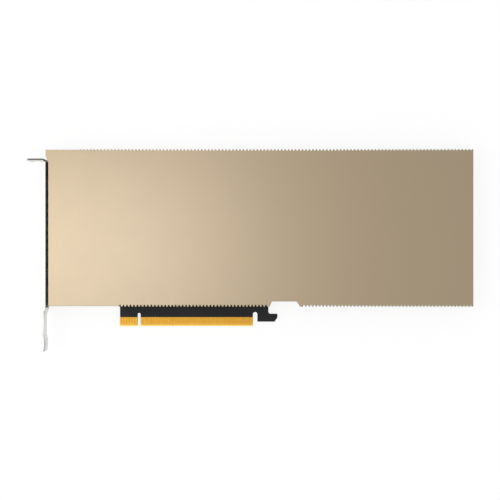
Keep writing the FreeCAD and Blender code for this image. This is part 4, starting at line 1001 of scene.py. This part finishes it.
chipFinish = makeChipFinish()
middleX, middleY = chipShape["middle"]
step = chipShape["backStep"]
setChips("back", (0.8, 1.6, 0.8), [
    (middleX + step * (column - 2.5), middleY + step * (row - 1.5)) for column in range(6) for row in range(4)
], boardBack, chipFinish)
step = chipShape["frontStep"]
setChips("front", (1.25, 2.0, 1.2), [
    (middleX + chipShape["frontReach"] * side, middleY + step * (row - 4))
    for side in (-1, 1) for row in range(9)
], 0, chipFinish)
print("chips done")


# spring and film behind the processor

springLook = {
    "colour": (0.50, 0.49, 0.47), "metal": 1.0, "roughness": 0.36, "grainSize": 0.35, "grainTone": 0.07,
    "bump": 0.35, "stretch": (0.06, 1, 1), "patinaSize": 18, "patinaTone": 0.06, "rimWidth": 0.2,
    "rimWear": 0.6, "wornAndSheenRimColour": (0.72, 0.71, 0.69),
}
filmLook = {
    "colour": (0.012, 0.012, 0.013), "roughness": 0.30, "glossChange": 0.08, "grainSize": 0.6,
    "grainTone": 0.06, "grainDepth": 0.006, "patinaSize": 10, "patinaTone": 0.06, "rimWidth": 0.1,
    "rimWear": 0.1, "wornAndSheenRimColour": (0.02, 0.02, 0.02),
}
easedCopy("retention_spring", "spring_steel", makeFinish("springSteel", springLook), 0.10)
easedCopy("spring_insulator", "insulator_film", makeFinish("blackFilm", filmLook), 0.03)


# heat sink

finShape = {"pitch": 2.05, "count": 43, "sheet": 0.3, "gap": 0.05, "bend": 0.35, "hem": 0.9, "endStep": 0.2}
finLook = {
    "colour": (0.60, 0.605, 0.61), "metal": 1.0, "roughness": 0.36, "grainSize": 0.5, "grainDepth": 0.010,
    "stretch": (0.05, 1, 1), "patinaSize": 30, "patinaTone": 0.05, "wornAndSheenRimColour": (0.75, 0.75, 0.75),
}


def makeFins():
    # a folded fin with a foot and a hem, repeated across the plate
    shape = finShape
    low, high = boxOf("fin_stack")
    sheet, bend, end = shape["sheet"], shape["bend"], shape["endStep"]
    foot, top = shape["pitch"] - shape["gap"], high.z - low.z

    def bendPoints(x, z, side, turns):
        return [(x + bend * (1 - sin(radians(turn))), z + side * bend * (1 - cos(radians(turn))))
                for turn in turns]

    section = [(foot, 0), (foot, sheet), *bendPoints(sheet, sheet, 1, (0, 30, 60, 90))]
    section += [(sheet, top - sheet), (shape["hem"], top - sheet), (shape["hem"], top), (bend, top)]
    section += bendPoints(0, top, -1, (45, 90)) + bendPoints(0, 0, 1, (90, 45, 0))
    rings = [[(x, low.y + y, low.z + z) for y, z in section]
             for x in (low.x, low.x + end, high.x - end, high.x)]
    fin = addObject("finShape", meshFrom("finShape", *closedRings(rings)))

    tree, given, result = newTree("finRow", "GeometryNodeTree", {
        "Geometry": "Geometry", "Fin": "Object", "Count": "Int", "Pitch": "Float", "Finish": "Material",
    }, {"Geometry": "Geometry"})
    step = addNode(tree, "ShaderNodeCombineXYZ", [("Y", given["Pitch"])]).outputs[0]
    line = addNode(tree, "GeometryNodeMeshLine", [("Count", given["Count"]), ("Offset", step)], mode="OFFSET")
    source = shapeOf(given["Fin"])
    row = addNode(tree, "GeometryNodeInstanceOnPoints", [("Points", line.outputs[0]), ("Instance", source)])
    endTree(tree, row.outputs[0], given["Finish"], result)
    fins = bakeTree("folded_fins", bpy.data.meshes.new("finAnchor"), tree, {
        "Fin": fin, "Count": shape["count"], "Pitch": shape["pitch"] * mm,
        "Finish": makeFinish("finAluminium", finLook),
    })
    bpy.data.objects.remove(fin)
    smoothMesh(fins.data, 50)
    keepPiece(fins, "fin_metal", "fin_stack")
    print("fins:", len(fins.data.polygons), "faces")


makeFins()


# the rest of the inside keeps its solids' shape, with eased edges and its own finish

def metalLook(colour, roughness, **more):
    look = {"colour": colour, "metal": 1.0, "roughness": roughness, "glossChange": 0.08, "grainSize": 0.35,
            "grainTone": 0.06, "bump": 0.35, "patinaSize": 18, "patinaTone": 0.06,
            "rimWidth": 0.2, "rimWear": 0.4, "wornAndSheenRimColour": tuple(min(1.0, part * 1.35) for part in colour)}
    return {**look, **more}


def mouldedLook(colour, roughness, **more):
    look = {"colour": colour, "roughness": roughness, "shine": 0.4, "glossChange": 0.08, "grainSize": 0.15,
            "grainTone": 0.12, "grainDepth": 0.012, "bump": 0.4, "patinaSize": 9,
            "rimWidth": 0.12, "rimWear": 0.25,
            "wornAndSheenRimColour": tuple(min(1.0, part * 1.6 + 0.004) for part in colour)}
    return {**look, **more}


insideFinishes = [
    # nodes, slot, finish name, look, eased width
    (["cover_pillars", "extender_pillars", "heatsink_posts", "processor_posts"], "standoff", "nickelBrass",
     metalLook((0.58, 0.55, 0.48), 0.30), 0.12),
    (["heatsink_plate"], "heatsink_plate", "milledAluminium",
     metalLook((0.55, 0.555, 0.56), 0.38, stretch=(0.05, 1, 1)), 0),
    (["vapour_chamber"], "chamber_copper", "chamberCopper", metalLook((0.72, 0.36, 0.22), 0.34), 0.1),
    (["processor_substrate"], "substrate", "darkLaminate", mouldedLook((0.010, 0.030, 0.014), 0.45), 0.06),
    (["processor_die"], "silicon", "polishedSilicon",
     mouldedLook((0.045, 0.048, 0.060), 0.12, grainDepth=0.001), 0.04),
    (["die_thermal_paste"], "thermal_paste", "greyPaste",
     mouldedLook((0.32, 0.32, 0.31), 0.6, grainSize=0.8, grainDepth=0.03), 0),
    (["package_stiffener"], "stiffener", "stiffenerNickel", metalLook((0.50, 0.49, 0.46), 0.32), 0.06),
    (["memory_chips"], "memory_case", "memoryEpoxy", mouldedLook((0.012, 0.012, 0.013), 0.5), 0.06),
    (["power_inductors", "input_choke"], "inductor_case", "pressedFerrite",
     mouldedLook((0.055, 0.055, 0.058), 0.7, grainSize=0.3), 0.15),
    (["power_stages", "power_controllers", "management_controller", "firmware_chip"],
     "chip_case", "chipEpoxy", mouldedLook((0.014, 0.014, 0.015), 0.55), 0.05),
    (["block_capacitors"], "capacitor_case", "polymerCase", mouldedLook((0.030, 0.028, 0.026), 0.42), 0.15),
    (["input_fuses"], "fuse_case", "fuseCeramic", mouldedLook((0.62, 0.60, 0.54), 0.5), 0.12),
    (["sense_resistors"], "resistor_case", "resistorMetal", mouldedLook((0.06, 0.058, 0.055), 0.5), 0.06),
    (["reference_crystal"], "crystal_can", "crystalLid", metalLook((0.60, 0.58, 0.54), 0.28), 0.06),
]
padLook = mouldedLook((0.22, 0.27, 0.33), 0.8, grainSize=0.5, grainDepth=0.03)
padNodes = sorted(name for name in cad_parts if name.endswith("_thermal_pads"))
insideFinishes.append((padNodes, "thermal_pad", "siliconePad", padLook, 0.04))
for nodes, slotName, finishName, look, width in insideFinishes:
    finish = makeFinish(finishName, look)
    for node in nodes:
        if width:
            easedCopy(node, slotName, finish, width)
        else:
            dressSolids(finish, node)
print("inside done")


# camera, lamps, world and floor

view = {"x": 70.24, "y": 48.2, "height": 850.0, "lens": 96.6, "sensor": 36.0, "near": 0.01, "far": 20.0}
camera = addObject("camera", bpy.data.cameras.new("camera"))
camera.data.lens, camera.data.sensor_width = view["lens"], view["sensor"]
camera.data.clip_start, camera.data.clip_end = view["near"], view["far"]
camera.location = Vector((view["x"], view["y"], view["height"])) * mm
bpy.context.scene.camera = camera

# a tall soft box, in metres and watts
key = {"at": (-0.243, 0.046, 0.60), "aim": (-0.05, 0.045, 0.0), "width": 0.19, "depth": 0.58, "power": 1.19}
lamp = addObject("keyLamp", bpy.data.lights.new("keyLamp", "AREA"))
lamp.data.shape, lamp.data.energy = "RECTANGLE", key["power"]
lamp.data.size, lamp.data.size_y = key["width"], key["depth"]
lamp.location = key["at"]
lamp.rotation_euler = (Vector(key["aim"]) - Vector(key["at"])).to_track_quat("-Z", "Y").to_euler()


def brightRays(tree):
    # 1 for the rays that should see the white studio, 0 for those that carry light
    path = addNode(tree, "ShaderNodeLightPath").outputs
    either = calc("ADD", path["Is Camera Ray"], path["Is Glossy Ray"])
    return calc("ADD", either, path["Is Transmission Ray"], clamp=True)


def emptyTree(owner):
    owner.use_nodes = True
    owner.node_tree.nodes.clear()
    return owner.node_tree


def mixSurfaces(tree, share, first, second, outputKind):
    mixed = addNode(tree, "ShaderNodeMixShader", [(0, share), (1, first.outputs[0]), (2, second.outputs[0])])
    tree.links.new(mixed.outputs[0], addNode(tree, outputKind).inputs["Surface"])


studio = {
    "white": (1, 1, 1, 1), "ambient": 0.92,
    "floorColour": (0.95, 0.95, 0.95, 1), "floorLift": 0.85, "floorReach": 4000, "floorGap": 0.02,
}
world = bpy.data.worlds.new("studio")
bpy.context.scene.world = world
tree = emptyTree(world)
soft, white = (addNode(tree, "ShaderNodeBackground", [("Color", studio["white"]), ("Strength", strength)])
               for strength in (studio["ambient"], 1.0))
mixSurfaces(tree, brightRays(tree), soft, white, "ShaderNodeOutputWorld")

floorLevel, far = cadBox[0].z / mm - studio["floorGap"], studio["floorReach"]
corners = [(x, y, floorLevel) for x, y in ((-far, -far), (far, -far), (far, far), (-far, far))]
floor = addObject("floor", meshFrom("floor", corners, [(0, 1, 2, 3)]))
paper = bpy.data.materials.new("whitePaper")
tree = emptyTree(paper)
matte = addNode(tree, "ShaderNodeBsdfDiffuse", [("Color", studio["floorColour"])])
glow = addNode(tree, "ShaderNodeEmission", [("Color", studio["white"]), ("Strength", 1.0)])
share = times(brightRays(tree), studio["floorLift"])
mixSurfaces(tree, share, matte, glow, "ShaderNodeOutputMaterial")
floor.data.materials.append(paper)

bpy.context.scene.view_settings.view_transform = "Standard"
